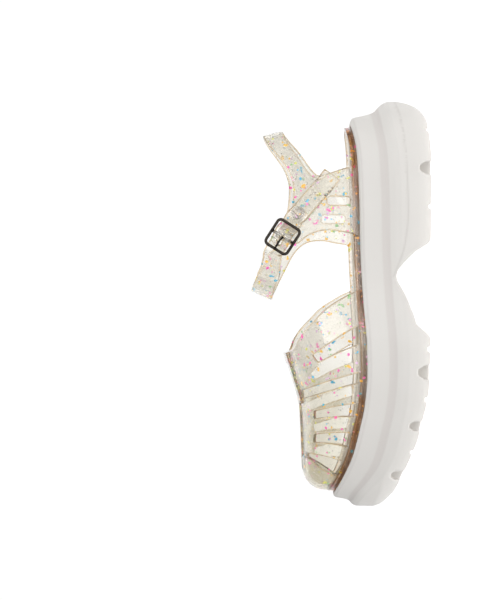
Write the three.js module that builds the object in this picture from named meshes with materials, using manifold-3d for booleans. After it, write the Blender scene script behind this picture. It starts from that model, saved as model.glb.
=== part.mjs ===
// A clear jelly sandal for the left foot, on a chunky platform sole.
// Millimetres. +X points to the toe, +Y to the lateral (outer) side, +Z up.
// "along" is measured from the back of the heel, "across" from the centre line, "up" from the floor.
import * as THREE from "three";
import { mergeVertices } from "three/addons/utils/BufferGeometryUtils.js";
import Module from "manifold-3d";

const wasm = await Module();
wasm.setup();

// Driving sizes
const SOLE_LENGTH = 268;
const SOLE_HALF_WIDTH = 54.3;
const SHOE_HEIGHT = 116.3; // top of the instep strap
const WALL = 2.5; // jelly wall of vamp and straps
const GAP = 0.4; // between separate pieces
const RECESS_DEPTH = 3; // pocket in the sole for the jelly base
const RIM_HEIGHT = 4; // jelly rim above the sole's lip
const LIP_WIDTH = 2; // sole material outside the jelly rim
const PLATE_RISE = 1; // base plate above the sole's lip
const PAD_RISE = 0.5; // insole pads above the sole's lip
const BEAD_RISE = 2; // raised edge of the base windows
const BEAD_WIDTH = 2.2;
const BEYOND = 20; // how far cutting blocks run past what they cut
const OUTSIDE = SOLE_HALF_WIDTH + BEYOND;
const RIM_COUNT = 72; // points round the sole and the jelly rim
const WINDOW_COUNT = 32;
const EYE_COUNT = 14;

// The tables are drawn for a shoe of these sizes. Their lengths follow the driving sizes, each in its own direction.
const DRAWN = { length: 268, halfWidth: 54.3, height: 116.3 };
const STRETCH = {
  length: SOLE_LENGTH / DRAWN.length,
  width: SOLE_HALF_WIDTH / DRAWN.halfWidth,
  height: SHOE_HEIGHT / DRAWN.height,
};
const DIRECTIONS = {
  length: ["along", "from", "to", "rear", "front", "centre", "halfLength", "start", "straightTo", "toeCentre", "end", "plateFrom"],
  width: ["lateral", "medial", "across", "halfWidth", "bulge"],
  height: ["up", "down", "bottom", "top"],
};
const stretchOf = (key) => {
  const direction = Object.keys(DIRECTIONS).find((name) => DIRECTIONS[name].includes(key));
  return direction ? STRETCH[direction] : 1;
};

// A table, a row or a list of rows with its lengths fitted to the driving sizes
function fitted(rows) {
  if (Array.isArray(rows)) return rows.map(fitted);
  const fit = ([key, value]) => [key, typeof value === "object" ? fitted(value) : value * stretchOf(key)];
  return Object.fromEntries(Object.entries(rows).map(fit));
}

// Plan of the platform at its widest level
const SOLE_PLAN = fitted([
  { along: 0, lateral: 0, medial: 0 },
  { along: 3.8, lateral: 17.5, medial: -18.2 },
  { along: 13, lateral: 31.7, medial: -33.7 },
  { along: 26.5, lateral: 40.5, medial: -42.2 },
  { along: 46.7, lateral: 44.9, medial: -46.6 },
  { along: 73.7, lateral: 46.6, medial: -44.8 },
  { along: 100.7, lateral: 46, medial: -40 },
  { along: 121, lateral: 47.2, medial: -38.2 },
  { along: 141, lateral: 51.3, medial: -42.5 },
  { along: 161.5, lateral: 54.3, medial: -50.3 },
  { along: 185, lateral: 52.7, medial: -54.2 },
  { along: 208.7, lateral: 47.2, medial: -52.3 },
  { along: 235.7, lateral: 34.8, medial: -44.6 },
  { along: 252, lateral: 23.2, medial: -34.8 },
  { along: 263, lateral: 10.6, medial: -21 },
  { along: 268, lateral: -6.4, medial: -6.4 },
]);

// Outer edge of the jelly rim
const RIM_PLAN = fitted([
  { along: 17.5, lateral: 0, medial: 0 },
  { along: 21.5, lateral: 17.8, medial: -16.8 },
  { along: 28.2, lateral: 24.8, medial: -23.8 },
  { along: 39, lateral: 29.8, medial: -29.4 },
  { along: 61, lateral: 33, medial: -33 },
  { along: 81, lateral: 35.1, medial: -32.3 },
  { along: 100, lateral: 36.7, medial: -31.2 },
  { along: 121, lateral: 39, medial: -30.4 },
  { along: 134, lateral: 41.7, medial: -32 },
  { along: 146.5, lateral: 44.1, medial: -37.4 },
  { along: 161, lateral: 45.7, medial: -42.2 },
  { along: 184, lateral: 44.5, medial: -44 },
  { along: 207, lateral: 40.8, medial: -43.7 },
  { along: 227, lateral: 34.1, medial: -41 },
  { along: 242, lateral: 24.5, medial: -35 },
  { along: 253, lateral: 12.5, medial: -24.5 },
  { along: 258, lateral: -5.4, medial: -5.4 },
]);

// Front window of the jelly base; it runs on under the vamp
const FRONT_WINDOW_PLAN = fitted([
  { along: 127.5, lateral: 6, medial: 6 },
  { along: 131, lateral: 21, medial: -8 },
  { along: 136, lateral: 28, medial: -16 },
  { along: 144, lateral: 33.2, medial: -23 },
  { along: 152, lateral: 36, medial: -28.8 },
  { along: 161, lateral: 37.4, medial: -33 },
  { along: 172, lateral: 37.4, medial: -36 },
  { along: 190, lateral: 35.5, medial: -37 },
  { along: 210, lateral: 31, medial: -35.5 },
  { along: 230, lateral: 23, medial: -30.5 },
  { along: 242, lateral: 12, medial: -21 },
  { along: 248, lateral: -5, medial: -5 },
]);

// Oval rear window of the jelly base
const REAR_WINDOW = fitted({ centre: 69, across: 1.5, halfLength: 44, halfWidth: 26, roundness: 2.4 });

// Height of the sole's upper lip and of its underside, before the arch and the lugs are cut
const SOLE_TOP = fitted([
  { along: 0, up: 54.5 },
  { along: 16, up: 52.2 },
  { along: 33, up: 49.2 },
  { along: 60, up: 47.5 },
  { along: 99, up: 46.4 },
  { along: 132, up: 44.3 },
  { along: 165, up: 41.6 },
  { along: 180, up: 41.2 },
  { along: 199, up: 42.3 },
  { along: 218, up: 45.7 },
  { along: 235, up: 49.6 },
  { along: 251, up: 56 },
  { along: 259, up: 59.6 },
  { along: 268, up: 61.5 },
]);
const SOLE_UNDERSIDE = fitted([
  { along: 0, up: 7.2 },
  { along: 6, up: 5.6 },
  { along: 11, up: 3 },
  { along: 18, up: 1.8 },
  { along: 30, up: 0.6 },
  { along: 40, up: 0 },
  { along: 180, up: 0 },
  { along: 195, up: 1 },
  { along: 210, up: 4 },
  { along: 224, up: 7 },
  { along: 240, up: 12.8 },
  { along: 257, up: 20 },
  { along: 263, up: 24 },
  { along: 268, up: 26.5 },
]);

// Side profile of the platform, as rings. A low ring stands "up" over the underside and lies "inset" inside the
// plan. A high ring hangs "down" from the lip, a share of the way in from the plan to the lip.
const LOW_RINGS = fitted([
  { up: 0, inset: 5.5 },
  { up: 4, inset: 2.6 },
  { up: 9, inset: 0.9 },
  { up: 15, inset: 0 },
]);
const HIGH_RINGS = fitted([
  { down: 26, share: 0.01 },
  { down: 23.4, share: 0.1 },
  { down: 20, share: 0.27 },
  { down: 17.6, share: 0.43 },
  { down: 14, share: 0.54 },
  { down: 9, share: 0.62 },
  { down: 2.6, share: 0.73 },
  { down: 0.9, share: 0.84 },
  { down: 0, share: 1 },
]);
// Towards the toe the side profile is squeezed in height
const SQUEEZE = fitted([
  { along: 0, high: 1, low: 1 },
  { along: 238, high: 1, low: 1 },
  { along: 268, high: 0.62, low: 0.45 },
]);

// Edge of the arch cut, seen from the side
const ARCH_EDGE = fitted([
  { along: 91, up: 0 },
  { along: 93.5, up: 1.5 },
  { along: 99, up: 10 },
  { along: 106, up: 17 },
  { along: 111, up: 21 },
  { along: 115, up: 22.5 },
  { along: 119, up: 21.6 },
  { along: 128, up: 16.5 },
  { along: 140, up: 11.5 },
  { along: 147, up: 9 },
  { along: 151, up: 4.5 },
  { along: 155, up: 0 },
]);

// Gaps between the lugs at both edges, and shallow grooves right across the tread
const LUG_GAP_REACH = 17; // how far a gap runs in from the edge
const LUG_GAPS = fitted([
  { from: 40, to: 48, depth: 8 },
  { from: 174, to: 183, depth: 8 },
  { from: 211, to: 217, depth: 8 },
  { from: 244, to: 249.5, depth: 8 },
]);
const TREAD_GROOVES = fitted([
  { from: 18, to: 20, depth: 1.6 },
  { from: 68, to: 71, depth: 2 },
  { from: 161.5, to: 165, depth: 2 },
  { from: 195, to: 198, depth: 2 },
  { from: 230, to: 232.5, depth: 2 },
]);

// Vamp: centre line, top line and roundness of its cross-sections
const VAMP = fitted({ start: 116, toeCentre: 236, straightTo: 196, end: 255.5, plateFrom: 166, rimInset: 1.1 });
const VAMP_SPINE = fitted([
  { along: 116, across: -3, up: 106, roundness: 3.6 },
  { along: 165, across: -5, up: 92.3, roundness: 3.5 },
  { along: 182, across: -5.5, up: 87.2, roundness: 2.9 },
  { along: 200, across: -6, up: 82.4, roundness: 2.4 },
  { along: 218, across: -6.3, up: 81.2, roundness: 2.3 },
  { along: 236, across: -6, up: 80.2, roundness: 2.6 },
]);
// Rear edge of the vamp, from the rim to the centre plate, seen from the side
const COLLAR_EDGE = fitted([
  { along: 124, up: 40 },
  { along: 126.3, up: 50.5 },
  { along: 132, up: 61 },
  { along: 138, up: 69.5 },
  { along: 145, up: 76 },
  { along: 151, up: 81.5 },
  { along: 158, up: 86.2 },
  { along: 166.6, up: 92.2 },
  { along: 167, up: 115 },
]);
// Open slots between the bars, the same on both sides; each is a tapered strip from the rim to its inner end
const SLOT_FROM_CENTRE = 11;
const VAMP_SLOTS = fitted([
  {
    rimRear: { along: 148.3, up: 46.6 },
    innerRear: { along: 168.2, up: 76.2 },
    innerFront: { along: 172.4, up: 73 },
    rimFront: { along: 160, up: 46.4 },
  },
  {
    rimRear: { along: 179.4, up: 46.2 },
    innerRear: { along: 191.4, up: 81.4 },
    innerFront: { along: 196.4, up: 80.6 },
    rimFront: { along: 185.4, up: 46.2 },
  },
  {
    rimRear: { along: 199.8, up: 47.6 },
    innerRear: { along: 205.2, up: 73.4 },
    innerFront: { along: 209.6, up: 73.4 },
    rimFront: { along: 207.6, up: 48.6 },
  },
  {
    rimRear: { along: 219.2, up: 51 },
    innerRear: { along: 220.6, up: 72.8 },
    innerFront: { along: 225.2, up: 73.2 },
    rimFront: { along: 227.6, up: 52.4 },
  },
  {
    rimRear: { along: 238.2, up: 55.6 },
    innerRear: { along: 233.4, up: 76.6 },
    innerFront: { along: 235, up: 77.2 },
    rimFront: { along: 246, up: 60 },
  },
]);
const SLOT_BULGE = 1.2; // how far a slot's long edges bow
// Raised forms on the vamp: a cross band, the centre plate and the spine, by their plan, and the toe cap
const RAISED = fitted([
  { from: 160, to: 174.5, halfWidth: 20.5, height: 2.2 },
  { from: 160, to: 200, halfWidth: 16.5, height: 1.6 },
  { from: 196, to: 244, halfWidth: 6.8, height: 1.1 },
]);
const RAISED_LEVELS = fitted({ bottom: 66, top: 120 });
const RAISED_CORNER = 1.5;
const TOE_CAP_RISE = 0.8;
const TOE_CAP_EDGE = fitted([
  { along: 234, up: 90 },
  { along: 235.6, up: 77 },
  { along: 240.6, up: 71.6 },
  { along: 246.4, up: 60.5 },
  { along: 247, up: 50 },
]);

// Ankle part: plan of the strap loop at its low and high level
const ANKLE_LOW = fitted([
  { along: 20.5, lateral: 0, medial: 0 },
  { along: 27, lateral: 19, medial: -18.5 },
  { along: 38, lateral: 27, medial: -27 },
  { along: 57, lateral: 31.2, medial: -31.2 },
  { along: 80, lateral: 33.5, medial: -30.9 },
  { along: 100, lateral: 35, medial: -29.8 },
  { along: 118, lateral: 31, medial: -27 },
  { along: 130, lateral: 20, medial: -18 },
  { along: 136, lateral: 0, medial: 0 },
]);
const ANKLE_HIGH = fitted([
  { along: 22, lateral: 0, medial: 0 },
  { along: 26, lateral: 8.8, medial: -8.6 },
  { along: 35, lateral: 16.5, medial: -14.5 },
  { along: 46, lateral: 22, medial: -18.8 },
  { along: 57, lateral: 26.5, medial: -22.5 },
  { along: 75, lateral: 32.5, medial: -27.5 },
  { along: 94, lateral: 35, medial: -30 },
  { along: 107, lateral: 33.5, medial: -28.5 },
  { along: 119, lateral: 27, medial: -22.5 },
  { along: 128, lateral: 15, medial: -12 },
  { along: 132, lateral: 1, medial: 1 },
]);
const ANKLE_LEVELS = fitted([
  { up: 48, high: 0, rear: 20.5, front: 136, bulge: 0 },
  { up: 56, high: 0.1, rear: 20.5, front: 136, bulge: 0.8 },
  { up: 72, high: 0.35, rear: 21, front: 136, bulge: 3 },
  { up: 86, high: 0.72, rear: 21.5, front: 135.5, bulge: 3.2 },
  { up: 97, high: 1, rear: 22, front: 133, bulge: 1.6 },
  { up: 108, high: 1, rear: 24.6, front: 128.8, bulge: 0.8 },
  { up: 122, high: 1, rear: 28.4, front: 122.6, bulge: 0 },
]);
// Side outlines of the ankle part: the trunk and heel strap, and on each side what reaches forward
const TRUNK_REAR_EDGE = fitted([
  { along: 43.6, up: 48 },
  { along: 44, up: 54 },
  { along: 46.4, up: 62 },
  { along: 49.4, up: 69 },
  { along: 49.6, up: 74.2 },
  { along: 45.6, up: 78.6 },
  { along: 34, up: 86.7 },
  { along: 27, up: 92.6 },
  { along: 21, up: 96.2 },
  { along: 14, up: 97.4 },
]);
const HEEL_STRAP_TOP = fitted([
  { along: 14, up: 110.8 },
  { along: 22, up: 110.4 },
  { along: 28, up: 107.8 },
  { along: 34.5, up: 103.2 },
  { along: 43, up: 96.5 },
  { along: 50, up: 92.6 },
  { along: 58, up: 90.6 },
  { along: 70, up: 91 },
]);
const LATERAL_FRONT = fitted([
  { along: 80, up: 95 },
  { along: 87.5, up: 99.6 },
  { along: 92, up: 99.4 },
  { along: 95.4, up: 94 },
  { along: 96, up: 90 },
  { along: 94.4, up: 86 },
  { along: 91.2, up: 82.4 },
  { along: 88.6, up: 78 },
  { along: 86.8, up: 72.6 },
  { along: 86, up: 66 },
  { along: 86.8, up: 59.4 },
  { along: 89.4, up: 48 },
]);
const MEDIAL_FRONT = fitted([
  { along: 82, up: 93.4 },
  { along: 94, up: 98.2 },
  { along: 106, up: 104.2 },
  { along: 118, up: 111.4 },
  { along: 126, up: 115.4 },
  { along: 134, up: 117.2 },
  { along: 142, up: 117.6 },
  { along: 142, up: 102.4 },
  { along: 132, up: 101.8 },
  { along: 124, up: 98 },
  { along: 113, up: 92.2 },
  { along: 103, up: 87 },
  { along: 96.4, up: 81.4 },
  { along: 93.4, up: 75 },
  { along: 92.8, up: 67 },
  { along: 94.2, up: 59 },
  { along: 96.2, up: 48 },
]);
const LATERAL_LOOP = fitted([
  { along: 142, up: 117.6 },
  { along: 132, up: 117 },
  { along: 124, up: 115.9 },
  { along: 114.5, up: 113.4 },
  { along: 106, up: 109.9 },
  { along: 103.6, up: 106 },
  { along: 105.4, up: 98 },
  { along: 108.4, up: 96.6 },
  { along: 114, up: 98 },
  { along: 124, up: 101 },
  { along: 132, up: 102.4 },
  { along: 142, up: 102.4 },
]);
const SEAM_LAP = 0.01; // how far the two halves of the ankle part run into each other
const TRUNK_SLOT = fitted({ from: 64, to: 69, bottom: 53.2, top: 68 });

// Instep strap on the lateral side, from the loop through the buckle to its free end: how far ahead of the buckle's
// centre, how far to the side of its line, and the distance from the trunk's mid-surface to the strap's
const STRAP_WIDTH = 12.8;
const STRAP_RUN = [
  { ahead: 27.3, aside: -5.2, out: 0 },
  { ahead: 21.2, aside: -3.6, out: 0.6 },
  { ahead: 15.9, aside: -1.7, out: 2.8 },
  { ahead: 11.8, aside: 0.2, out: 4.4 },
  { ahead: 8.8, aside: 0.3, out: 4.5 },
  { ahead: 5.8, aside: 0.3, out: 5.8 },
  { ahead: 3.1, aside: 0.2, out: 9.9 },
  { ahead: 0, aside: 0, out: 11.9 },
  { ahead: -3.2, aside: -0.2, out: 10.5 },
  { ahead: -6, aside: -0.3, out: 6.2 },
  { ahead: -8.9, aside: -0.5, out: 4.95 },
  { ahead: -11.8, aside: -0.5, out: 5.2 },
  { ahead: -14.5, aside: -0.4, out: 5.9 },
  { ahead: -19.1, aside: -1.1, out: 6.5 },
  { ahead: -24.2, aside: -1.9, out: 6.2 },
  { ahead: -30.6, aside: -2.8, out: 4.4 },
  { ahead: -36.5, aside: -3.6, out: 3.2 },
  { ahead: -44.2, aside: -4.5, out: 3 },
  { ahead: -51.9, aside: -5.2, out: 3 },
];

// Buckle: a bent frame with a centre bar, its prong, tab and stud
const BUCKLE_PLACE = fitted({ along: 91.1, up: 97 });
const BUCKLE = { out: 7.45, tilt: 32, length: 20.2, width: 18.1, corner: 2.4 };
const BAR_RADIUS = 0.9;
const PRONG_RADIUS = 0.7;
const PLAY = 0.35; // between the centre bar and what turns on it
const TAB = { width: 9, thickness: 1.1, slit: 3.2, slitEnd: 3, leaves: 45 };
// The tab's run after it leaves its eye, by distance behind the centre bar and height over the trunk's mid-surface
const TAB_RUN = [
  { behind: 3.6, out: 3.6 },
  { behind: 6.2, out: 2.4 },
  { behind: 10, out: 2.3 },
  { behind: 14, out: 2.3 },
  { behind: 18.4, out: 2.3 },
  { behind: 22.6, out: 2.3 },
];
// The stud: head over the tab, shank through tab and trunk, and a flange inside
const STUD = { behind: 18.4, radius: 4.2, shank: 1.5, hole: 2, head: 1.05, flange: 3.1 };

const COLOURS = { sole: 0xe2dfd9, jelly: 0xe5e1d1, pad: 0xd9d1c7, metal: 0x6f6c69, stud: 0xdedad2 };

// A smooth function through a table's rows, level where the rows turn round, so that it never overshoots them
function smoothColumn(rows, key, place = (row) => row.along) {
  const knots = rows.map(place);
  const values = rows.map((row) => row[key]);
  const steepness = (i) => (values[i + 1] - values[i]) / (knots[i + 1] - knots[i]);
  const slope = (i) => {
    if (i === 0) return steepness(0);
    if (i === rows.length - 1) return steepness(i - 1);
    const before = steepness(i - 1);
    const after = steepness(i);
    return before * after > 0 ? (2 * before * after) / (before + after) : 0;
  };
  return (x) => {
    let i = 0;
    while (i < knots.length - 2 && x > knots[i + 1]) i += 1;
    const span = knots[i + 1] - knots[i];
    const t = Math.min(Math.max((x - knots[i]) / span, 0), 1);
    const rise = values[i + 1] - values[i];
    const a = slope(i) * span;
    const b = slope(i + 1) * span;
    return values[i] + t * (a + t * (3 * rise - 2 * a - b + t * (a + b - 2 * rise)));
  };
}

// A closed plan outline from its table. "turn" runs from 0 at the rear end to pi at the front end, so that both
// ends come out round.
function planOutline(rows) {
  const rear = rows[0].along;
  const front = rows[rows.length - 1].along;
  const turnOf = (along) => Math.acos(1 - (2 * Math.min(Math.max(along - rear, 0), front - rear)) / (front - rear));
  const lateral = smoothColumn(rows, "lateral", (row) => turnOf(row.along));
  const medial = smoothColumn(rows, "medial", (row) => turnOf(row.along));
  return {
    rear,
    front,
    turnOf,
    across: (side, turn) => (side > 0 ? lateral(turn) : medial(turn)),
    alongAt: (turn) => rear + ((front - rear) * (1 - Math.cos(turn))) / 2,
  };
}

// The points of an outline as a ring of 2-D vectors: rear end, lateral side, front end, medial side
function ringOf(outline, count) {
  const half = count / 2;
  return Array.from({ length: count }, (_, i) => {
    const side = i <= half ? 1 : -1;
    const turn = (Math.PI * (side > 0 ? i : count - i)) / half;
    return new THREE.Vector2(outline.alongAt(turn), outline.across(side, turn));
  });
}

function ovalRing({ centre, across, halfLength, halfWidth, roundness }, count) {
  const power = (value) => Math.sign(value) * Math.abs(value) ** (2 / roundness);
  return Array.from({ length: count }, (_, i) => {
    const angle = (2 * Math.PI * i) / count;
    return new THREE.Vector2(
      centre - halfLength * power(Math.cos(angle)),
      across + halfWidth * power(Math.sin(angle)),
    );
  });
}

// A ring moved inwards by a distance along its own normals
function insetRing(ring, distance) {
  return ring.map((point, i) => {
    const before = ring[(i + ring.length - 1) % ring.length];
    const after = ring[(i + 1) % ring.length];
    const tangent = after.clone().sub(before).normalize();
    return new THREE.Vector2(point.x + tangent.y * distance, point.y - tangent.x * distance);
  });
}

function solidFrom(points, triangles) {
  const vertProperties = new Float32Array(points.flatMap((p) => [p.x, p.y, p.z]));
  const triVerts = new Uint32Array(triangles.flat());
  return new wasm.Manifold(new wasm.Mesh({ numProp: 3, vertProperties, triVerts }));
}

// Triangles that close a ring whose points pair up across its long axis
function capTriangles(count, offset, flipped) {
  const triangles = [];
  for (let i = 0; i < count / 2; i += 1) {
    const [a, b, c, d] = [i, i + 1, count - i - 1, (count - i) % count].map((k) => k + offset);
    if (i > 0) triangles.push([a, c, d]);
    if (i < count / 2 - 1) triangles.push([a, b, c]);
  }
  return flipped ? triangles.map(([a, b, c]) => [a, c, b]) : triangles;
}

// A closed solid through rings of 3-D points, listed from the bottom up
function loft(rings) {
  const count = rings[0].length;
  const triangles = [];
  for (let k = 0; k < rings.length - 1; k += 1) {
    for (let i = 0; i < count; i += 1) {
      const a = k * count + i;
      const b = k * count + ((i + 1) % count);
      triangles.push([a, a + count, b], [b, a + count, b + count]);
    }
  }
  triangles.push(...capTriangles(count, 0, false));
  triangles.push(...capTriangles(count, (rings.length - 1) * count, true));
  return solidFrom(rings.flat(), triangles);
}

const lift = (ring, height) => ring.map((p) => new THREE.Vector3(p.x, p.y, height(p.x, p.y)));

function solidOfGeometry(geometry) {
  const bare = geometry.index ? geometry.toNonIndexed() : geometry;
  bare.deleteAttribute("normal");
  bare.deleteAttribute("uv");
  const merged = mergeVertices(bare, 1e-4);
  return new wasm.Manifold(
    new wasm.Mesh({
      numProp: 3,
      vertProperties: merged.attributes.position.array,
      triVerts: new Uint32Array(merged.index.array),
    }),
  );
}

// A side outline, given in along and up, as a block between two positions across
function sidePrism(points, fromAcross, toAcross) {
  const shape = new THREE.Shape(points);
  const block = new THREE.ExtrudeGeometry(shape, { depth: toAcross - fromAcross, bevelEnabled: false, steps: 1 });
  block.rotateX(Math.PI / 2);
  block.translate(0, toAcross, 0);
  return solidOfGeometry(block);
}

// A plan outline as a block between two heights
function planPrism(points, fromUp, toUp) {
  const shape = new THREE.Shape(points);
  const block = new THREE.ExtrudeGeometry(shape, { depth: toUp - fromUp, bevelEnabled: false, steps: 1 });
  block.translate(0, 0, fromUp);
  return solidOfGeometry(block);
}

const sidePoints = (rows) => rows.map((row) => new THREE.Vector2(row.along, row.up));

// A curve through side points, so that a short table gives a smooth edge
function smoothEdge(rows, pieces) {
  return new THREE.SplineCurve(sidePoints(rows)).getPoints(pieces);
}

const soleTop = smoothColumn(SOLE_TOP, "up");
const soleUnderside = smoothColumn(SOLE_UNDERSIDE, "up");

// Sole: rings from the tread up to the lip, then down into the pocket
function makeSole() {
  const plan = ringOf(planOutline(SOLE_PLAN), RIM_COUNT);
  const rim = ringOf(planOutline(RIM_PLAN), RIM_COUNT);
  const lip = insetRing(rim, -LIP_WIDTH);
  const squeezeHigh = smoothColumn(SQUEEZE, "high");
  const squeezeLow = smoothColumn(SQUEEZE, "low");
  const low = LOW_RINGS.map(({ up, inset }) =>
    lift(insetRing(plan, inset), (along) => soleUnderside(along) + up * squeezeLow(along)),
  );
  const high = HIGH_RINGS.map(({ down, share }) =>
    lift(
      plan.map((point, i) => point.clone().lerp(lip[i], share)),
      (along) => soleTop(along) - down * squeezeHigh(along),
    ),
  );
  const pocketEdge = lift(insetRing(rim, -GAP - 0.5), (along) => soleTop(along) - 0.3);
  const pocketFloor = lift(insetRing(rim, -GAP), (along) => soleTop(along) - RECESS_DEPTH);
  let sole = loft([...low, ...high, pocketEdge, pocketFloor]);

  const archSpline = smoothEdge(ARCH_EDGE.slice(2, -2), 22);
  const arch = [
    new THREE.Vector2(ARCH_EDGE[0].along, -BEYOND),
    ...sidePoints(ARCH_EDGE.slice(0, 2)),
    ...archSpline,
    ...sidePoints(ARCH_EDGE.slice(-2)),
    new THREE.Vector2(ARCH_EDGE.at(-1).along, -BEYOND),
  ];
  sole = sole.subtract(sidePrism(arch, -OUTSIDE, OUTSIDE));

  const outline = planOutline(SOLE_PLAN);
  for (const { from, to, depth } of LUG_GAPS) {
    const middle = (from + to) / 2;
    const roof = soleUnderside(middle) + depth;
    const corner = (to - from) * 0.3;
    const gap = [
      [from - 0.8, -BEYOND],
      [from, roof - corner * 1.6],
      [from + corner, roof],
      [to - corner, roof],
      [to, roof - corner * 1.6],
      [to + 0.8, -BEYOND],
    ].map(([along, up]) => new THREE.Vector2(along, up));
    const turn = outline.turnOf(middle);
    const lateral = outline.across(1, turn);
    const medial = outline.across(-1, turn);
    sole = sole.subtract(sidePrism(gap, lateral - LUG_GAP_REACH, lateral + BEYOND));
    sole = sole.subtract(sidePrism(gap, medial - BEYOND, medial + LUG_GAP_REACH));
  }
  for (const { from, to, depth } of TREAD_GROOVES) {
    const roof = soleUnderside((from + to) / 2) + depth;
    const groove = [
      [from - 0.5, -BEYOND],
      [from, roof],
      [to, roof],
      [to + 0.5, -BEYOND],
    ].map(([along, up]) => new THREE.Vector2(along, up));
    sole = sole.subtract(sidePrism(groove, -OUTSIDE, OUTSIDE));
  }
  return sole;
}

const windowRings = (count) => [
  ovalRing(REAR_WINDOW, count),
  ringOf(planOutline(FRONT_WINDOW_PLAN), count),
];

// Jelly base: rim, plate and the two windows with their raised edges
function makeBase() {
  const rim = ringOf(planOutline(RIM_PLAN), RIM_COUNT);
  let base = loft([
    lift(insetRing(rim, 0.3), (along) => soleTop(along) - RECESS_DEPTH + GAP),
    lift(rim, (along) => soleTop(along) - RECESS_DEPTH + GAP + 0.6),
    lift(rim, (along) => soleTop(along) + RIM_HEIGHT - 0.8),
    lift(insetRing(rim, 0.7), (along) => soleTop(along) + RIM_HEIGHT),
    lift(insetRing(rim, 2.2), (along) => soleTop(along) + RIM_HEIGHT),
    lift(insetRing(rim, 3.4), (along) => soleTop(along) + PLATE_RISE + 0.6),
    lift(insetRing(rim, 4.4), (along) => soleTop(along) + PLATE_RISE),
  ]);
  for (const ring of windowRings(WINDOW_COUNT)) {
    const bead = loft([
      lift(insetRing(ring, -BEAD_WIDTH), (along) => soleTop(along) - 1),
      lift(insetRing(ring, -BEAD_WIDTH), (along) => soleTop(along) + PLATE_RISE + 0.1),
      lift(insetRing(ring, -BEAD_WIDTH + 0.7), (along) => soleTop(along) + BEAD_RISE),
      lift(ring, (along) => soleTop(along) + BEAD_RISE),
    ]);
    base = base.add(bead);
  }
  for (const ring of windowRings(WINDOW_COUNT)) {
    const hole = loft([lift(ring, (along) => soleTop(along) - 8), lift(ring, (along) => soleTop(along) + 8)]);
    base = base.subtract(hole);
  }
  return base;
}

function makePad(ring) {
  const edge = insetRing(ring, GAP);
  return loft([
    lift(edge, (along) => soleTop(along) - RECESS_DEPTH + GAP),
    lift(edge, (along) => soleTop(along) + PAD_RISE - 0.6),
    lift(insetRing(edge, 0.8), (along) => soleTop(along) + PAD_RISE),
  ]);
}

const vampAcross = smoothColumn(VAMP_SPINE, "across");
const vampUp = smoothColumn(VAMP_SPINE, "up");
const vampRoundness = smoothColumn(VAMP_SPINE, "roundness");

// Where on the spine a rim position's section ends; towards the toe the sections fan out
function spineAlong(along) {
  const { straightTo, toeCentre, end } = VAMP;
  if (along <= straightTo) return along;
  const t = (along - straightTo) / (end - straightTo);
  const reach = toeCentre - straightTo;
  const run = end - straightTo;
  return straightTo + run * t + (3 * reach - 2 * run) * t * t + (run - 2 * reach) * t ** 3;
}

// The vamp as a filled body, pulled in everywhere by "inset" and reaching "foot" over the sole's lip
function vampBody(inset, foot, { around = 44, rows = 7 } = {}) {
  const outline = planOutline(RIM_PLAN);
  const first = outline.turnOf(VAMP.start);
  const points = [];
  const index = [];
  const ring = Array.from({ length: around + 1 }, (_, i) => {
    const side = i <= around / 2 ? 1 : -1;
    const step = side > 0 ? i : around - i;
    const turn = first + ((Math.PI - first) * step) / (around / 2);
    return { side, step, turn, point: new THREE.Vector2(outline.alongAt(turn), outline.across(side, turn)) };
  });
  const edge = ring.map(({ point }, i) => {
    const before = ring[Math.max(i - 1, 0)].point;
    const after = ring[Math.min(i + 1, around)].point;
    const tangent = after.clone().sub(before).normalize();
    const pull = inset + VAMP.rimInset;
    return new THREE.Vector2(point.x + tangent.y * pull, point.y - tangent.x * pull);
  });
  for (let row = 0; row <= rows; row += 1) {
    const lean = (Math.PI / 2) * Math.max(row - 1, 0) / (rows - 1);
    edge.forEach((rimPoint, i) => {
      const mirror = around - i;
      if (row === rows && mirror < i) {
        index.push(index[row * (around + 1) + mirror]);
        return;
      }
      const rimAlong = ring[i].point.x;
      const along = spineAlong(rimAlong);
      const power = 2 / vampRoundness(along);
      const reach = row === rows ? 0 : Math.cos(lean) ** power;
      const climb = Math.sin(lean) ** power;
      const bottom = soleTop(rimAlong) + RIM_HEIGHT - 1;
      const top = vampUp(along) - inset;
      const up = row === 0 ? soleTop(rimAlong) + foot : bottom + (top - bottom) * climb;
      const middle = vampAcross(along);
      points.push(new THREE.Vector3(along + (rimPoint.x - along) * reach, middle + (rimPoint.y - middle) * reach, up));
      index.push(points.length - 1);
    });
  }
  const at = (row, i) => index[row * (around + 1) + i];
  const triangles = [];
  const quad = (a, b, c, d) => triangles.push([a, b, c], [a, c, d]);
  for (let row = 0; row < rows; row += 1) {
    for (let i = 0; i < around; i += 1) quad(at(row, i), at(row + 1, i), at(row + 1, i + 1), at(row, i + 1));
    if (row < rows - 1) quad(at(row, around), at(row + 1, around), at(row + 1, 0), at(row, 0));
  }
  triangles.push([at(rows - 1, around), at(rows, 0), at(rows - 1, 0)]);
  for (let i = 0; i < around / 2; i += 1) {
    const [a, b, c, d] = [at(0, i), at(0, i + 1), at(0, around - i - 1), at(0, around - i)];
    triangles.push([a, c, d]);
    if (i < around / 2 - 1) triangles.push([a, b, c]);
  }
  const kept = triangles.filter(([a, b, c]) => a !== b && b !== c && a !== c);
  return solidFrom(points, kept);
}

// A slot's outline with bowed long edges and a round inner end
function slotOutline({ rimRear, innerRear, innerFront, rimFront }) {
  const bow = (from, to, sign) => {
    const start = new THREE.Vector2(from.along, from.up);
    const end = new THREE.Vector2(to.along, to.up);
    const normal = end.clone().sub(start).normalize();
    const middle = start.clone().lerp(end, 0.5);
    middle.add(new THREE.Vector2(-normal.y, normal.x).multiplyScalar(sign * SLOT_BULGE));
    return new THREE.QuadraticBezierCurve(start, middle, end).getPoints(3);
  };
  const rear = bow(rimRear, innerRear, 1);
  const front = bow(innerFront, rimFront, -1);
  return [...rear, ...front].reverse();
}

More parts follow.
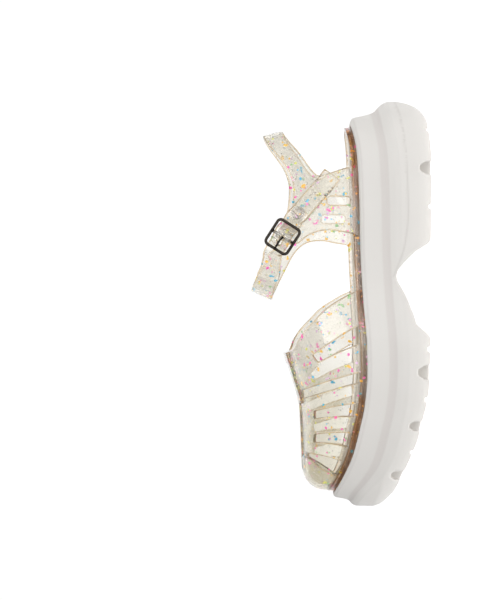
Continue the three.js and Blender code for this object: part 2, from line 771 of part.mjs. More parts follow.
// Vamp: shell with raised forms and open slots
function makeVamp() {
  const inner = vampBody(WALL, -6);
  let vamp = vampBody(0, 0.4);
  for (const { from, to, halfWidth, height } of RAISED) {
    const middle = vampAcross((Math.max(from, VAMP.plateFrom) + to) / 2);
    const plan = [
      [from, middle - halfWidth],
      [to - RAISED_CORNER, middle - halfWidth],
      [to, middle - halfWidth + RAISED_CORNER],
      [to, middle + halfWidth - RAISED_CORNER],
      [to - RAISED_CORNER, middle + halfWidth],
      [from, middle + halfWidth],
    ].map(([along, across]) => new THREE.Vector2(along, across));
    vamp = vamp.add(vampBody(-height, 0.4).intersect(planPrism(plan, RAISED_LEVELS.bottom, RAISED_LEVELS.top)));
  }
  const far = SOLE_LENGTH + BEYOND;
  const capEnds = [TOE_CAP_EDGE.at(-1), TOE_CAP_EDGE[0]].map(({ up }) => new THREE.Vector2(far, up));
  const cap = [...smoothEdge(TOE_CAP_EDGE, 12), ...capEnds];
  vamp = vamp.add(vampBody(-TOE_CAP_RISE, 3.2).intersect(sidePrism(cap.reverse(), -OUTSIDE, OUTSIDE)));
  vamp = vamp.subtract(inner);

  const behindEnds = [COLLAR_EDGE.at(-1), COLLAR_EDGE[0]].map(({ up }) => new THREE.Vector2(VAMP.start - BEYOND, up));
  const behind = [...smoothEdge(COLLAR_EDGE, 14), ...behindEnds];
  vamp = vamp.subtract(sidePrism(behind, -OUTSIDE, OUTSIDE));
  for (const slot of VAMP_SLOTS) {
    const outline = slotOutline(slot);
    const middle = vampAcross(slot.innerRear.along);
    vamp = vamp.subtract(sidePrism(outline, middle + SLOT_FROM_CENTRE, OUTSIDE));
    vamp = vamp.subtract(sidePrism(outline, -OUTSIDE, middle - SLOT_FROM_CENTRE));
  }
  return vamp;
}

const ankleLow = planOutline(ANKLE_LOW);
const ankleHigh = planOutline(ANKLE_HIGH);
const ankleLevel = Object.fromEntries(
  ["high", "rear", "front", "bulge"].map((key) => [key, smoothColumn(ANKLE_LEVELS, key, (row) => row.up)]),
);

// Mid-surface of the ankle part at a height, by turn round the loop
function anklePoint(side, turn, up) {
  const high = ankleLevel.high(up);
  const rear = ankleLevel.rear(up);
  const front = ankleLevel.front(up);
  const low = ankleLow.across(side, turn);
  const across = low + (ankleHigh.across(side, turn) - low) * high;
  const bulge = side * ankleLevel.bulge(up) * Math.sin(turn);
  return new THREE.Vector3(rear + ((front - rear) * (1 - Math.cos(turn))) / 2, across + bulge, up);
}

// The same surface by its position along, on the lateral side, with its outward normal
function lateralSurface(along, up, out) {
  const at = (a, u) => {
    const rear = ankleLevel.rear(u);
    const front = ankleLevel.front(u);
    return anklePoint(1, Math.acos(1 - (2 * (a - rear)) / (front - rear)), u);
  };
  const point = at(along, up);
  const alongTangent = at(along + 1, up).sub(at(along - 1, up));
  const upTangent = at(along, up + 1).sub(at(along, up - 1));
  const normal = upTangent.cross(alongTangent).normalize();
  return { point: point.addScaledVector(normal, out), normal };
}

const BODY_OVER_STRAP = 7; // how far the cut body stands over the strap's edges

function ankleBody(offset) {
  const count = 40;
  const steps = 9;
  const [from, to] = [ANKLE_LEVELS[0].up, ANKLE_LEVELS.at(-1).up + BODY_OVER_STRAP];
  const levels = Array.from({ length: steps + 1 }, (_, k) => from + ((to - from) * k) / steps);
  const rings = levels.map((up) => {
    const middle = Array.from({ length: count }, (_, i) => {
      const side = i <= count / 2 ? 1 : -1;
      const turn = (2 * Math.PI * (side > 0 ? i : count - i)) / count;
      return anklePoint(side, turn, up);
    });
    return lift(insetRing(middle, -offset), () => up);
  });
  return loft(rings);
}

// Trunks, heel strap and the loop over the instep
function makeAnkle() {
  const shell = ankleBody(WALL / 2).subtract(ankleBody(-WALL / 2));
  const rear = [...smoothEdge(TRUNK_REAR_EDGE, 16), ...smoothEdge(HEEL_STRAP_TOP, 10)];
  const lateral = [...rear, ...smoothEdge(LATERAL_FRONT, 18)];
  const medial = [...rear, ...sidePoints(MEDIAL_FRONT.slice(0, 1)), ...smoothEdge(MEDIAL_FRONT.slice(1), 24)];
  const loop = smoothEdge(LATERAL_LOOP, 18);
  let ankle = shell.intersect(sidePrism(lateral.reverse(), -SEAM_LAP, OUTSIDE));
  ankle = ankle.add(shell.intersect(sidePrism(medial.reverse(), -OUTSIDE, SEAM_LAP)));
  ankle = ankle.add(shell.intersect(sidePrism(loop.reverse(), -SEAM_LAP, OUTSIDE)));
  const { from, to, bottom, top } = TRUNK_SLOT;
  const slot = [
    [from, bottom],
    [to, bottom],
    [to, top - 2],
    [to - 1.6, top],
    [from + 1.6, top],
    [from, top - 2],
  ].map(([along, up]) => new THREE.Vector2(along, up));
  return ankle.subtract(sidePrism(slot, -OUTSIDE, OUTSIDE));
}

// A flat band through stations, each with its centre and roughly its outward direction
function makeBand(stations, width, thickness) {
  const rings = stations.map(({ centre, outward }, i) => {
    const before = stations[Math.max(i - 1, 0)].centre;
    const after = stations[Math.min(i + 1, stations.length - 1)].centre;
    const tangent = after.clone().sub(before).normalize();
    const sideways = new THREE.Vector3().crossVectors(outward, tangent).setLength(width / 2);
    const normal = new THREE.Vector3().crossVectors(tangent, sideways).setLength(thickness / 2);
    return [
      centre.clone().add(sideways).add(normal),
      centre.clone().add(sideways).sub(normal),
      centre.clone().sub(sideways).sub(normal),
      centre.clone().sub(sideways).add(normal),
    ];
  });
  const triangles = [];
  for (let k = 0; k < rings.length - 1; k += 1) {
    for (let i = 0; i < 4; i += 1) {
      const a = k * 4 + i;
      const b = k * 4 + ((i + 1) % 4);
      triangles.push([a, a + 4, b], [b, a + 4, b + 4]);
    }
  }
  const last = (rings.length - 1) * 4;
  triangles.push([0, 1, 2], [0, 2, 3], [last, last + 2, last + 1], [last, last + 3, last + 2]);
  return solidFrom(rings.flat(), triangles);
}

const tilt = THREE.MathUtils.degToRad(BUCKLE.tilt);
const strapDirection = new THREE.Vector3(Math.cos(tilt), 0, Math.sin(tilt));

// Stations of the instep strap, evened out along a smooth curve
function strapStations() {
  const centres = STRAP_RUN.map(({ ahead, aside, out }) => {
    const along = BUCKLE_PLACE.along + ahead * strapDirection.x - aside * strapDirection.z;
    const up = BUCKLE_PLACE.up + ahead * strapDirection.z + aside * strapDirection.x;
    return lateralSurface(along, up, out).point;
  });
  const curve = new THREE.CatmullRomCurve3(centres, false, "centripetal");
  const steps = 36;
  const overBuckle = lateralSurface(BUCKLE_PLACE.along, BUCKLE_PLACE.up, 0).normal;
  return Array.from({ length: steps + 1 }, (_, k) => {
    const centre = curve.getPointAt(k / steps);
    const fromBuckle = Math.abs(centre.x - BUCKLE_PLACE.along);
    const free = THREE.MathUtils.smoothstep(fromBuckle, BUCKLE.length / 2, BUCKLE.length * 0.9);
    return { centre, outward: overBuckle.clone().lerp(lateralSurface(centre.x, centre.z, 0).normal, free) };
  });
}

// A frame over the trunk: x along the strap towards the front, y across it, z outwards
function frameOnTrunk(behind, out) {
  const along = BUCKLE_PLACE.along - behind * strapDirection.x;
  const up = BUCKLE_PLACE.up - behind * strapDirection.z;
  const { point, normal } = lateralSurface(along, up, out);
  const forward = strapDirection.clone().addScaledVector(normal, -strapDirection.dot(normal)).normalize();
  const sideways = new THREE.Vector3().crossVectors(normal, forward);
  return new THREE.Matrix4().makeBasis(forward, sideways, normal).setPosition(point);
}

function rodGeometry(path, radius, steps) {
  const section = new THREE.Shape();
  section.absarc(0, 0, radius, 0, 2 * Math.PI);
  return new THREE.ExtrudeGeometry(section, { extrudePath: path, steps, curveSegments: 3, bevelEnabled: false });
}

// A rounded frame from four corner arcs, as a chain of sampled points
function frameRodSolid() {
  const halfLength = BUCKLE.length / 2 - BAR_RADIUS;
  const halfWidth = BUCKLE.width / 2 - BAR_RADIUS;
  const { corner } = BUCKLE;
  const sectionCount = 6;
  const centres = [];
  for (const [sx, sy, start] of [
    [1, 1, 0],
    [-1, 1, Math.PI / 2],
    [-1, -1, Math.PI],
    [1, -1, (3 * Math.PI) / 2],
  ]) {
    for (let k = 0; k <= 4; k += 1) {
      const angle = start + ((Math.PI / 2) * k) / 4;
      const direction = new THREE.Vector2(Math.cos(angle), Math.sin(angle));
      const centre = new THREE.Vector2(sx * (halfLength - corner), sy * (halfWidth - corner));
      centres.push({ centre: centre.addScaledVector(direction, corner), direction });
    }
  }
  const points = [];
  const triangles = [];
  centres.forEach(({ centre, direction }) => {
    for (let i = 0; i < sectionCount; i += 1) {
      const angle = (2 * Math.PI * (i + 0.5)) / sectionCount;
      const outwards = centre.clone().addScaledVector(direction, BAR_RADIUS * Math.cos(angle));
      points.push(new THREE.Vector3(outwards.x, outwards.y, BAR_RADIUS * Math.sin(angle)));
    }
  });
  const total = centres.length;
  for (let k = 0; k < total; k += 1) {
    for (let i = 0; i < sectionCount; i += 1) {
      const a = k * sectionCount + i;
      const b = k * sectionCount + ((i + 1) % sectionCount);
      const c = ((k + 1) % total) * sectionCount + i;
      const d = ((k + 1) % total) * sectionCount + ((i + 1) % sectionCount);
      triangles.push([a, c, b], [b, c, d]);
    }
  }
  return solidFrom(points, triangles);
}

function makeBuckleFrame() {
  const bar = new THREE.CylinderGeometry(BAR_RADIUS, BAR_RADIUS, BUCKLE.width - BAR_RADIUS * 2, 10);
  return frameRodSolid().add(solidOfGeometry(bar));
}

// Prong: an eye round the centre bar and a straight pin to the front bar
function makeProng() {
  const eye = new THREE.TorusGeometry(BAR_RADIUS + PLAY + PRONG_RADIUS, PRONG_RADIUS, 6, 14);
  eye.rotateX(Math.PI / 2);
  const tip = BUCKLE.length / 2 - BAR_RADIUS + 0.6;
  const path = new THREE.CatmullRomCurve3([
    new THREE.Vector3(1.6, 0, 1),
    new THREE.Vector3(3.4, 0, 4.6),
    new THREE.Vector3(5.6, 0, 4.3),
    new THREE.Vector3(tip, 0, BAR_RADIUS + PRONG_RADIUS + GAP),
  ]);
  const pin = solidOfGeometry(rodGeometry(path, PRONG_RADIUS, 8));
  return solidOfGeometry(eye).add(pin);
}

// The hole that the prong makes in the strap
function prongHole() {
  const hole = new THREE.BoxGeometry(6, 2 * PRONG_RADIUS + 0.8, 10.5);
  hole.translate(2.5, 0, 2.8);
  return solidOfGeometry(hole);
}

// Tab: an eye round the centre bar, slit for the prong, and a strip back over the trunk with a hole for the stud
function makeTab() {
  const inner = BAR_RADIUS + PLAY;
  const outer = inner + TAB.thickness;
  const ring = solidOfGeometry(new THREE.CylinderGeometry(outer, outer, TAB.width, EYE_COUNT));
  const bore = solidOfGeometry(new THREE.CylinderGeometry(inner, inner, TAB.width + BEYOND, EYE_COUNT));
  const slitLength = TAB.slitEnd + 2 * outer;
  const slit = new THREE.BoxGeometry(slitLength, TAB.slit, BUCKLE.out + outer);
  slit.translate(slitLength / 2 - TAB.slitEnd, 0, 0);
  const matrix = frameOnTrunk(0, BUCKLE.out);
  const leaves = THREE.MathUtils.degToRad(TAB.leaves);
  const middle = (inner + outer) / 2;
  const start = new THREE.Vector3(-middle * Math.cos(leaves), 0, -middle * Math.sin(leaves));
  const first = { centre: start.applyMatrix4(matrix), outward: new THREE.Vector3().setFromMatrixColumn(matrix, 2) };
  const rest = TAB_RUN.map(({ behind, out }) => {
    const basis = frameOnTrunk(behind, out);
    return {
      centre: new THREE.Vector3().setFromMatrixPosition(basis),
      outward: new THREE.Vector3().setFromMatrixColumn(basis, 2),
    };
  });
  const strip = makeBand([first, ...rest], TAB.width, TAB.thickness);
  return toWorld(ring, matrix)
    .add(strip)
    .subtract(toWorld(bore, matrix))
    .subtract(toWorld(solidOfGeometry(slit), matrix))
    .subtract(studHole());
}

function studHole() {
  const hole = new THREE.CylinderGeometry(STUD.hole, STUD.hole, 12, 12);
  hole.rotateX(Math.PI / 2);
  return toWorld(solidOfGeometry(hole), frameOnTrunk(STUD.behind, 0));
}

function makeStud() {
  const headBase = TAB_RUN.at(-1).out + TAB.thickness / 2 + GAP;
  const flangeTop = -WALL / 2 - 2.5 * GAP;
  const profile = [
    [0, flangeTop - 1],
    [STUD.flange - 0.5, flangeTop - 1],
    [STUD.flange, flangeTop - 0.5],
    [STUD.flange, flangeTop],
    [STUD.shank, flangeTop],
    [STUD.shank, headBase],
    [STUD.radius, headBase],
    [STUD.radius, headBase + 0.35],
    [STUD.radius * 0.72, headBase + STUD.head * 0.8],
    [0, headBase + STUD.head],
  ].map(([radius, height]) => new THREE.Vector2(radius, height));
  const stud = new THREE.LatheGeometry(profile, 14);
  stud.rotateX(Math.PI / 2);
  return toWorld(solidOfGeometry(stud), frameOnTrunk(STUD.behind, 0));
}

function toWorld(solid, matrix) {
  return solid.transform(matrix.elements.slice());
}

function meshOf(name, solid, colour, roughness, metalness = 0) {
  const { vertProperties, triVerts } = solid.getMesh();
  const geometry = new THREE.BufferGeometry();
  geometry.setAttribute("position", new THREE.BufferAttribute(new Float32Array(vertProperties), 3));
  geometry.setIndex(new THREE.BufferAttribute(new Uint32Array(triVerts), 1));
  geometry.computeVertexNormals();
  const material = new THREE.MeshStandardMaterial({ color: colour, roughness, metalness });
  const mesh = new THREE.Mesh(geometry, material);
  mesh.name = name;
  return mesh;
}

const sandal = new THREE.Group();
sandal.position.x = -SOLE_LENGTH / 2;

const onBar = frameOnTrunk(0, BUCKLE.out);
const [rearWindow, frontWindow] = windowRings(WINDOW_COUNT);
const trunks = makeAnkle().subtract(studHole());
const strap = makeBand(strapStations(), STRAP_WIDTH, WALL).subtract(toWorld(prongHole(), onBar));
const upper = makeBase().add(makeVamp()).add(trunks).add(strap);
sandal.add(meshOf("sole", makeSole(), COLOURS.sole, 0.6));
sandal.add(meshOf("upper", upper, COLOURS.jelly, 0.1));
sandal.add(meshOf("heel_pad", makePad(rearWindow), COLOURS.pad, 0.7));
sandal.add(meshOf("forefoot_pad", makePad(frontWindow), COLOURS.pad, 0.7));
sandal.add(meshOf("buckle_frame", toWorld(makeBuckleFrame(), onBar), COLOURS.metal, 0.25, 1));
sandal.add(meshOf("buckle_prong", toWorld(makeProng(), onBar), COLOURS.metal, 0.25, 1));
sandal.add(meshOf("buckle_tab", makeTab(), COLOURS.jelly, 0.1));
sandal.add(meshOf("rivet_stud", makeStud(), COLOURS.stud, 0.1));

export default sandal;
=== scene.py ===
"""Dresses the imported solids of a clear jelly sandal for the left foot, which stands on a chunky platform.

Sizes are millimetres. "Along" runs from the back of the heel to the toe, "across" from the centre line to
the outer side, and "up" from the floor. Blender's own lengths are metres.
"""

import logging
import math
from collections.abc import Callable, Sequence
from dataclasses import dataclass, field
from enum import Enum

import bpy
import numpy as np
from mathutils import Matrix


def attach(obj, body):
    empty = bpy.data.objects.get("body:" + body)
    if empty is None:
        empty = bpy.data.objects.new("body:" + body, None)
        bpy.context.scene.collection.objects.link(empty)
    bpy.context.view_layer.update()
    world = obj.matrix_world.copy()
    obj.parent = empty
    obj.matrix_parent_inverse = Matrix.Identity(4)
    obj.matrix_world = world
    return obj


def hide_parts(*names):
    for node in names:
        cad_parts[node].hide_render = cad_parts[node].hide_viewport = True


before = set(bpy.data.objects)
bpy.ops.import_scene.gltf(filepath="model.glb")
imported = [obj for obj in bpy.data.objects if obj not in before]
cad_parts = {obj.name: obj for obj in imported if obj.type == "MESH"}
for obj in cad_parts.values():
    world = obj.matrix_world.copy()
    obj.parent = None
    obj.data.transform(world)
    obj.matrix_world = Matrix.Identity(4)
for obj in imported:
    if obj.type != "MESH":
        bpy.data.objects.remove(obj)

import openvdb
from mathutils import Matrix, Vector

log = logging.getLogger("sandal")

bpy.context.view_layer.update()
MM = 0.001

SOLE_LENGTH = 268.0
MOST_TRIANGLES = 190_000
# The radius of a join that gets no fillet
SHARP = 0.01
# How far below the floor a cut in the tread starts
BELOW = -20

Colour = tuple[float, float, float]
Slices = tuple[slice, ...]

Curve = Callable[[np.ndarray], np.ndarray]


class Table:
    """Rows of measured sizes under named columns."""

    def __init__(self, columns: str, *rows: Sequence[float]) -> None:
        """Keeps the rows by column.

        Args:
            columns: The names of the columns, with spaces between them.
            rows: One row of numbers for each section.
        """
        self.columns = dict(zip(columns.split(), np.array(rows, float).T))

    def __getitem__(self, name: str) -> np.ndarray:
        """The numbers of one column."""
        return self.columns[name]

    def curve(self, name: str, over: str = "along") -> Curve:
        """A smooth curve through one column."""
        return smooth_curve(self[over], self[name])

    def edge(self, pieces: int = 0) -> np.ndarray:
        """The along and up columns as side points.

        Args:
            pieces: How many pieces a smooth curve through them gets, or 0 to leave them straight.

        Returns:
            One point a row.
        """
        points = np.stack([self["along"], self["up"]], axis=1)
        return spline_points(points, pieces) if pieces else points


def smooth_curve(knots: np.ndarray, values: np.ndarray) -> Curve:
    """A curve through knots that is level where the values turn round, so that it never overshoots them.

    Args:
        knots: Rising places.
        values: The value at each of them.

    Returns:
        A function from places to values.
    """
    steep = np.diff(values) / np.diff(knots)
    product = steep[:-1] * steep[1:]
    total = np.where(product > 0, steep[:-1] + steep[1:], 1)
    inner = np.where(product > 0, 2 * product / total, 0)
    slopes = np.concatenate([steep[:1], inner, steep[-1:]])

    def at(places: np.ndarray) -> np.ndarray:
        """The curve's values at the places."""
        i = np.clip(np.searchsorted(knots, places) - 1, 0, len(knots) - 2)
        span = knots[i + 1] - knots[i]
        t = np.clip((places - knots[i]) / span, 0, 1)
        rise = values[i + 1] - values[i]
        a, b = slopes[i] * span, slopes[i + 1] * span
        return values[i] + t * (a + t * (3 * rise - 2 * a - b + t * (a + b - 2 * rise)))

    return at


def spline_points(points: np.ndarray, pieces: int) -> np.ndarray:
    """Points of an even spline that passes through all the given ones.

    Args:
        points: The points to pass through, of any dimension.
        pieces: The number of pieces between the first and the last.

    Returns:
        pieces + 1 points.
    """
    padded = np.concatenate([points[:1], points, points[-1:]])
    place = np.linspace(0, len(points) - 1, pieces + 1)
    i = np.minimum(place.astype(int), len(points) - 2)
    t = (place - i)[:, None]
    before, start, end, after = (padded[i + k] for k in range(4))
    v0, v1 = (end - before) / 2, (after - start) / 2
    return start + t * (v0 + t * (3 * (end - start) - 2 * v0 - v1 + t * (2 * (start - end) + v0 + v1)))


SOLE_PLAN = Table(
    "along lateral medial",
    (0, 0, 0), (3.8, 17.5, -18.2), (13, 31.7, -33.7), (26.5, 40.5, -42.2), (46.7, 44.9, -46.6),
    (73.7, 46.6, -44.8), (100.7, 46, -40), (121, 47.2, -38.2), (141, 51.3, -42.5), (161.5, 54.3, -50.3),
    (185, 52.7, -54.2), (208.7, 47.2, -52.3), (235.7, 34.8, -44.6), (252, 23.2, -34.8), (263, 10.6, -21),
    (268, -6.4, -6.4),
)  # fmt: skip
RIM_PLAN = Table(
    "along lateral medial",
    (17.5, 0, 0), (21.5, 17.8, -16.8), (28.2, 24.8, -23.8), (39, 29.8, -29.4), (61, 33, -33),
    (81, 35.1, -32.3), (100, 36.7, -31.2), (121, 39, -30.4), (134, 41.7, -32), (146.5, 44.1, -37.4),
    (161, 45.7, -42.2), (184, 44.5, -44), (207, 40.8, -43.7), (227, 34.1, -41), (242, 24.5, -35),
    (253, 12.5, -24.5), (258, -5.4, -5.4),
)  # fmt: skip
FRONT_WINDOW_PLAN = Table(
    "along lateral medial",
    (127.5, 6, 6), (131, 21, -8), (136, 28, -16), (144, 33.2, -23), (152, 36, -28.8), (161, 37.4, -33),
    (172, 37.4, -36), (190, 35.5, -37), (210, 31, -35.5), (230, 23, -30.5), (242, 12, -21), (248, -5, -5),
)  # fmt: skip
SOLE_TOP = Table(
    "along up",
    (0, 54.5), (16, 52.2), (33, 49.2), (60, 47.5), (99, 46.4), (132, 44.3), (165, 41.6), (180, 41.2),
    (199, 42.3), (218, 45.7), (235, 49.6), (251, 56), (259, 59.6), (268, 61.5),
)  # fmt: skip
SOLE_UNDERSIDE = Table(
    "along up",
    (0, 7.2), (6, 5.6), (11, 3), (18, 1.8), (30, 0.6), (40, 0), (180, 0), (195, 1), (210, 4), (224, 7),
    (240, 12.8), (257, 20), (263, 24), (268, 26.5),
)  # fmt: skip
HEEL_CREASE = Table(
    "along up",
    (0, 23.2), (10, 20.5), (23.2, 18.5), (39.8, 16.9), (59.6, 15.9), (76.2, 15.5), (87.4, 16.5),
    (99.3, 18.5), (115.9, 24.5),
)  # fmt: skip
# How strongly the brown band at the rim's foot is painted along the length: painted shade of the gap against
# the sole's lip and painted dark reflection
RIM_SHADE = Table(
    "along share",
    (13, 1), (58, 1), (70, 0.75), (100, 0.75), (112, 1), (145, 1), (153, 0.5), (190, 0.45), (200, 1),
    (260, 1),
)  # fmt: skip
LOW_RINGS = Table("up inset", (0, 5.5), (4, 2.6), (9, 0.9), (15, 0), (70, 0))
HIGH_RINGS = Table(
    "down share",
    (0, 1), (0.9, 0.84), (2.6, 0.73), (9, 0.62), (14, 0.54), (17.6, 0.43), (20, 0.27), (23.4, 0.1),
    (26, 0.01), (30, -0.5),
)  # fmt: skip
SQUEEZE = Table("along high low", (0, 1, 1), (238, 1, 1), (268, 0.62, 0.45))
ARCH_EDGE = Table(
    "along up",
    (91, -20), (91.2, 0), (93.5, 1.5), (99, 10), (106, 17), (111, 21), (115, 22.5), (119, 21.6),
    (128, 16.5), (140, 11.5), (147, 9), (151, 4.5), (155, 0), (155.4, -20),
)  # fmt: skip
LUG_GAPS = ((40, 48, 8), (174, 183, 8), (211, 217, 8), (244, 249.5, 8))
TREAD_GROOVES = ((18, 20, 1.6), (68, 71, 2), (161.5, 165, 2), (195, 198, 2), (230, 232.5, 2))

VAMP_SPINE = Table(
    "along across up roundness",
    (116, -3, 106, 3.6), (165, -5, 92.3, 3.5), (182, -5.5, 87.2, 2.9), (200, -6, 82.4, 2.4),
    (218, -6.3, 81.2, 2.3), (236, -6, 80.2, 2.6),
)  # fmt: skip
COLLAR_EDGE = Table(
    "along up",
    (124, 40), (126.3, 50.5), (132, 61), (138, 69.5), (145, 76), (151, 81.5), (158, 86.2), (166.6, 92.2),
    (167, 115),
)  # fmt: skip
# Each slot's corners: rear at the rim, rear and front at the inner end, front at the rim
VAMP_SLOTS = (
    ((148.3, 46.6), (168.2, 76.2), (172.4, 73), (160, 46.4)),
    ((179.4, 46.2), (191.4, 81.4), (196.4, 80.6), (185.4, 46.2)),
    ((199.8, 47.6), (205.2, 73.4), (209.6, 73.4), (207.6, 48.6)),
    ((219.2, 51), (220.6, 72.8), (225.2, 73.2), (227.6, 52.4)),
    ((238.2, 55.6), (233.4, 76.6), (235, 77.2), (246, 60)),
)
# How far ahead of the lateral slots the medial ones lie; the last has no partner
MEDIAL_SLOT_SHIFTS = (13.0, 10.0, 9.5, 9.0)
# Raised forms: from, to, half width, height
RAISED_FORMS = ((160, 174.5, 20.5, 2.2), (160, 200, 16.5, 1.6), (196, 244, 6.8, 1.1))
TOE_CAP_EDGE = Table("along up", (234, 90), (235.6, 77), (240.6, 71.6), (246.4, 60.5), (247, 50))

ANKLE_LOW = Table(
    "along lateral medial",
    (20.5, 0, 0), (27, 19, -18.5), (38, 27, -27), (57, 31.2, -31.2), (80, 33.5, -30.9), (100, 35, -29.8),
    (118, 31, -27), (130, 20, -18), (136, 0, 0),
)  # fmt: skip
ANKLE_HIGH = Table(
    "along lateral medial",
    (22, 0, 0), (26, 8.8, -8.6), (35, 16.5, -14.5), (46, 22, -18.8), (57, 26.5, -22.5), (75, 32.5, -27.5),
    (94, 35, -30), (107, 33.5, -28.5), (119, 27, -22.5), (128, 15, -12), (132, 0, 0),
)  # fmt: skip
ANKLE_LEVELS = Table(
    "up high rear front bulge",
    (48, 0, 20.5, 136, 0), (56, 0.1, 20.5, 136, 0.8), (72, 0.35, 21, 136, 3),
    (86, 0.72, 21.5, 135.5, 3.2), (97, 1, 22, 133, 1.6), (108, 1, 24.6, 128.8, 0.8),
    (122, 1, 28.4, 122.6, 0),
)  # fmt: skip
TRUNK_REAR_EDGE = Table(
    "along up",
    (43.6, 44), (44, 54), (46.4, 62), (49.4, 69), (49.6, 74.2), (45.6, 78.6), (34, 86.7), (27, 92.6),
    (21, 96.2), (14, 97.4),
)  # fmt: skip
HEEL_STRAP_TOP = Table(
    "along up",
    (14, 110.8), (22, 110.4), (28, 107.8), (34.5, 103.2), (43, 96.5), (50, 92.6), (58, 90.6), (70, 91),
)  # fmt: skip
LATERAL_FRONT = Table(
    "along up",
    (80, 95), (87.5, 99.6), (92, 99.4), (95.4, 94), (96, 90), (94.4, 86), (91.2, 82.4), (88.6, 78),
    (86.8, 72.6), (86, 66), (86.8, 59.4), (89.4, 44),
)  # fmt: skip
MEDIAL_FRONT = Table(
    "along up",
    (82, 93.4), (94, 98.2), (106, 104.2), (118, 111.4), (126, 115.4), (134, 117.2), (142, 117.6),
    (142, 102.4), (132, 101.8), (124, 98), (113, 92.2), (103, 87), (96.4, 81.4), (93.4, 75), (92.8, 67),
    (94.2, 59), (96.2, 44),
)  # fmt: skip
LATERAL_LOOP = Table(
    "along up",
    (142, 117.6), (132, 117), (124, 115.9), (116, 113.6), (111.4, 111.2), (109.2, 107), (110, 101),
    (112, 98.2), (117, 98.8), (124, 101), (132, 102.4), (142, 102.4),
)  # fmt: skip
STRAP_RUN = Table(
    "ahead aside out",
    (27.3, -5.2, 0), (21.2, -3.6, 0.6), (15.9, -1.7, 2.8), (11.8, 0.2, 4.4), (8.8, 0.3, 4.5),
    (5.8, 0.3, 5.8), (3.1, 0.2, 9.9), (0, 0, 11.9), (-3.2, -0.2, 10.5), (-6, -0.3, 6.2),
    (-8.9, -0.5, 4.95), (-11.8, -0.5, 5.2), (-14.5, -0.4, 5.9), (-19.1, -1.1, 6.5), (-24.2, -1.9, 6.2),
    (-30.6, -2.8, 4.4), (-36.5, -3.6, 3.2), (-44.2, -4.5, 3), (-51.9, -5.2, 3),
)  # fmt: skip
TAB_RUN = Table("behind out", (3.6, 3.6), (6.2, 2.4), (10, 2.3), (14, 2.3), (18.4, 2.3), (22.6, 2.3))


class Outline:
    """A closed outline in plan that comes out round at both its ends."""

    def __init__(self, table: Table) -> None:
        """Takes the outline's along, lateral and medial columns."""
        self.rear, self.front = table["along"][0], table["along"][-1]
        turns = self.turn_of(table["along"])
        self.sides = {1: smooth_curve(turns, table["lateral"]), -1: smooth_curve(turns, table["medial"])}

    def turn_of(self, along: np.ndarray) -> np.ndarray:
        """The turn, from 0 at the rear end to pi at the front end."""
        return np.arccos(np.clip(1 - 2 * (along - self.rear) / (self.front - self.rear), -1, 1))

    def half(self, side: int, turns: np.ndarray) -> np.ndarray:
        """The points of one side at the given turns."""
        along = self.rear + (self.front - self.rear) * (1 - np.cos(turns)) / 2
        return np.stack([along, self.sides[side](turns)], axis=1)

    def ring(self, count: int) -> np.ndarray:
        """A closed ring of points: rear end, lateral side, front end, medial side."""
        turns = np.linspace(0, np.pi, count // 2 + 1)
        return np.concatenate([self.half(1, turns), self.half(-1, turns[-2:0:-1])])


def oval_ring(count: int) -> np.ndarray:
    """The ring of the oval rear window of the jelly base."""
    centre, across, half_length, half_width, roundness = 69, 1.5, 44, 26, 2.4
    angle = np.linspace(0, 2 * np.pi, count, endpoint=False)
    cos, sin = np.cos(angle), np.sin(angle)
    return np.stack([
        centre - half_length * np.sign(cos) * np.abs(cos) ** (2 / roundness),
        across + half_width * np.sign(sin) * np.abs(sin) ** (2 / roundness),
    ], axis=1)  # fmt: skip


def inset(ring: np.ndarray, distance: float, closed: bool = True) -> np.ndarray:
    """A ring, or an open run of it, moved inwards along its own normals."""
    if closed:
        tangent = np.roll(ring, -1, axis=0) - np.roll(ring, 1, axis=0)
    else:
        tangent = np.gradient(ring, axis=0)
    tangent /= np.linalg.norm(tangent, axis=1, keepdims=True)
    return ring + distance * np.stack([tangent[:, 1], -tangent[:, 0]], axis=1)


def windows() -> tuple[np.ndarray, np.ndarray]:
    """The rings of the two windows in the jelly base, the heel's first."""
    return oval_ring(160), Outline(FRONT_WINDOW_PLAN).ring(160)


def unit(vectors: np.ndarray) -> np.ndarray:
    """Vectors at length one."""
    return vectors / np.maximum(np.linalg.norm(vectors, axis=-1, keepdims=True), 1e-9)


def ease(t: np.ndarray) -> np.ndarray:
    """A smooth step from 0 to 1."""
    t = np.clip(t, 0, 1)
    return t * t * (3 - 2 * t)


def even_points(curve: np.ndarray, pieces: int) -> np.ndarray:
    """Points at even distances along a curve."""
    run = np.concatenate([[0], np.cumsum(np.linalg.norm(np.diff(curve, axis=0), axis=1))])
    even = np.linspace(0, run[-1], pieces + 1)
    return np.stack([np.interp(even, run, curve[:, k]) for k in range(curve.shape[1])], axis=1)


def run_distance(points: np.ndarray, u: np.ndarray, v: np.ndarray) -> np.ndarray:
    """Distance to an open run of points."""
    u, v = np.broadcast_arrays(u, v)
    nearest = np.full(u.shape, np.inf)
    for (ax, ay), (bx, by) in zip(points, points[1:]):
        ex, ey, wx, wy = bx - ax, by - ay, u - ax, v - ay
        t = np.clip((wx * ex + wy * ey) / (ex * ex + ey * ey), 0, 1)
        nearest = np.minimum(nearest, (wx - ex * t) ** 2 + (wy - ey * t) ** 2)
    return np.sqrt(nearest)


def grid_faces(rings: int, count: int) -> list[tuple[int, ...]]:
    """The faces between closed rings of points, listed from the bottom up."""
    return [
        (k * count + i, k * count + (i + 1) % count, (k + 1) * count + (i + 1) % count, (k + 1) * count + i)
        for k in range(rings - 1)
        for i in range(count)
    ]


def end_faces(rings: int, count: int) -> list[tuple[int, ...]]:
    """The faces that close the first and the last of the rings."""
    return [tuple(range(count - 1, -1, -1)), tuple(range((rings - 1) * count, rings * count))]


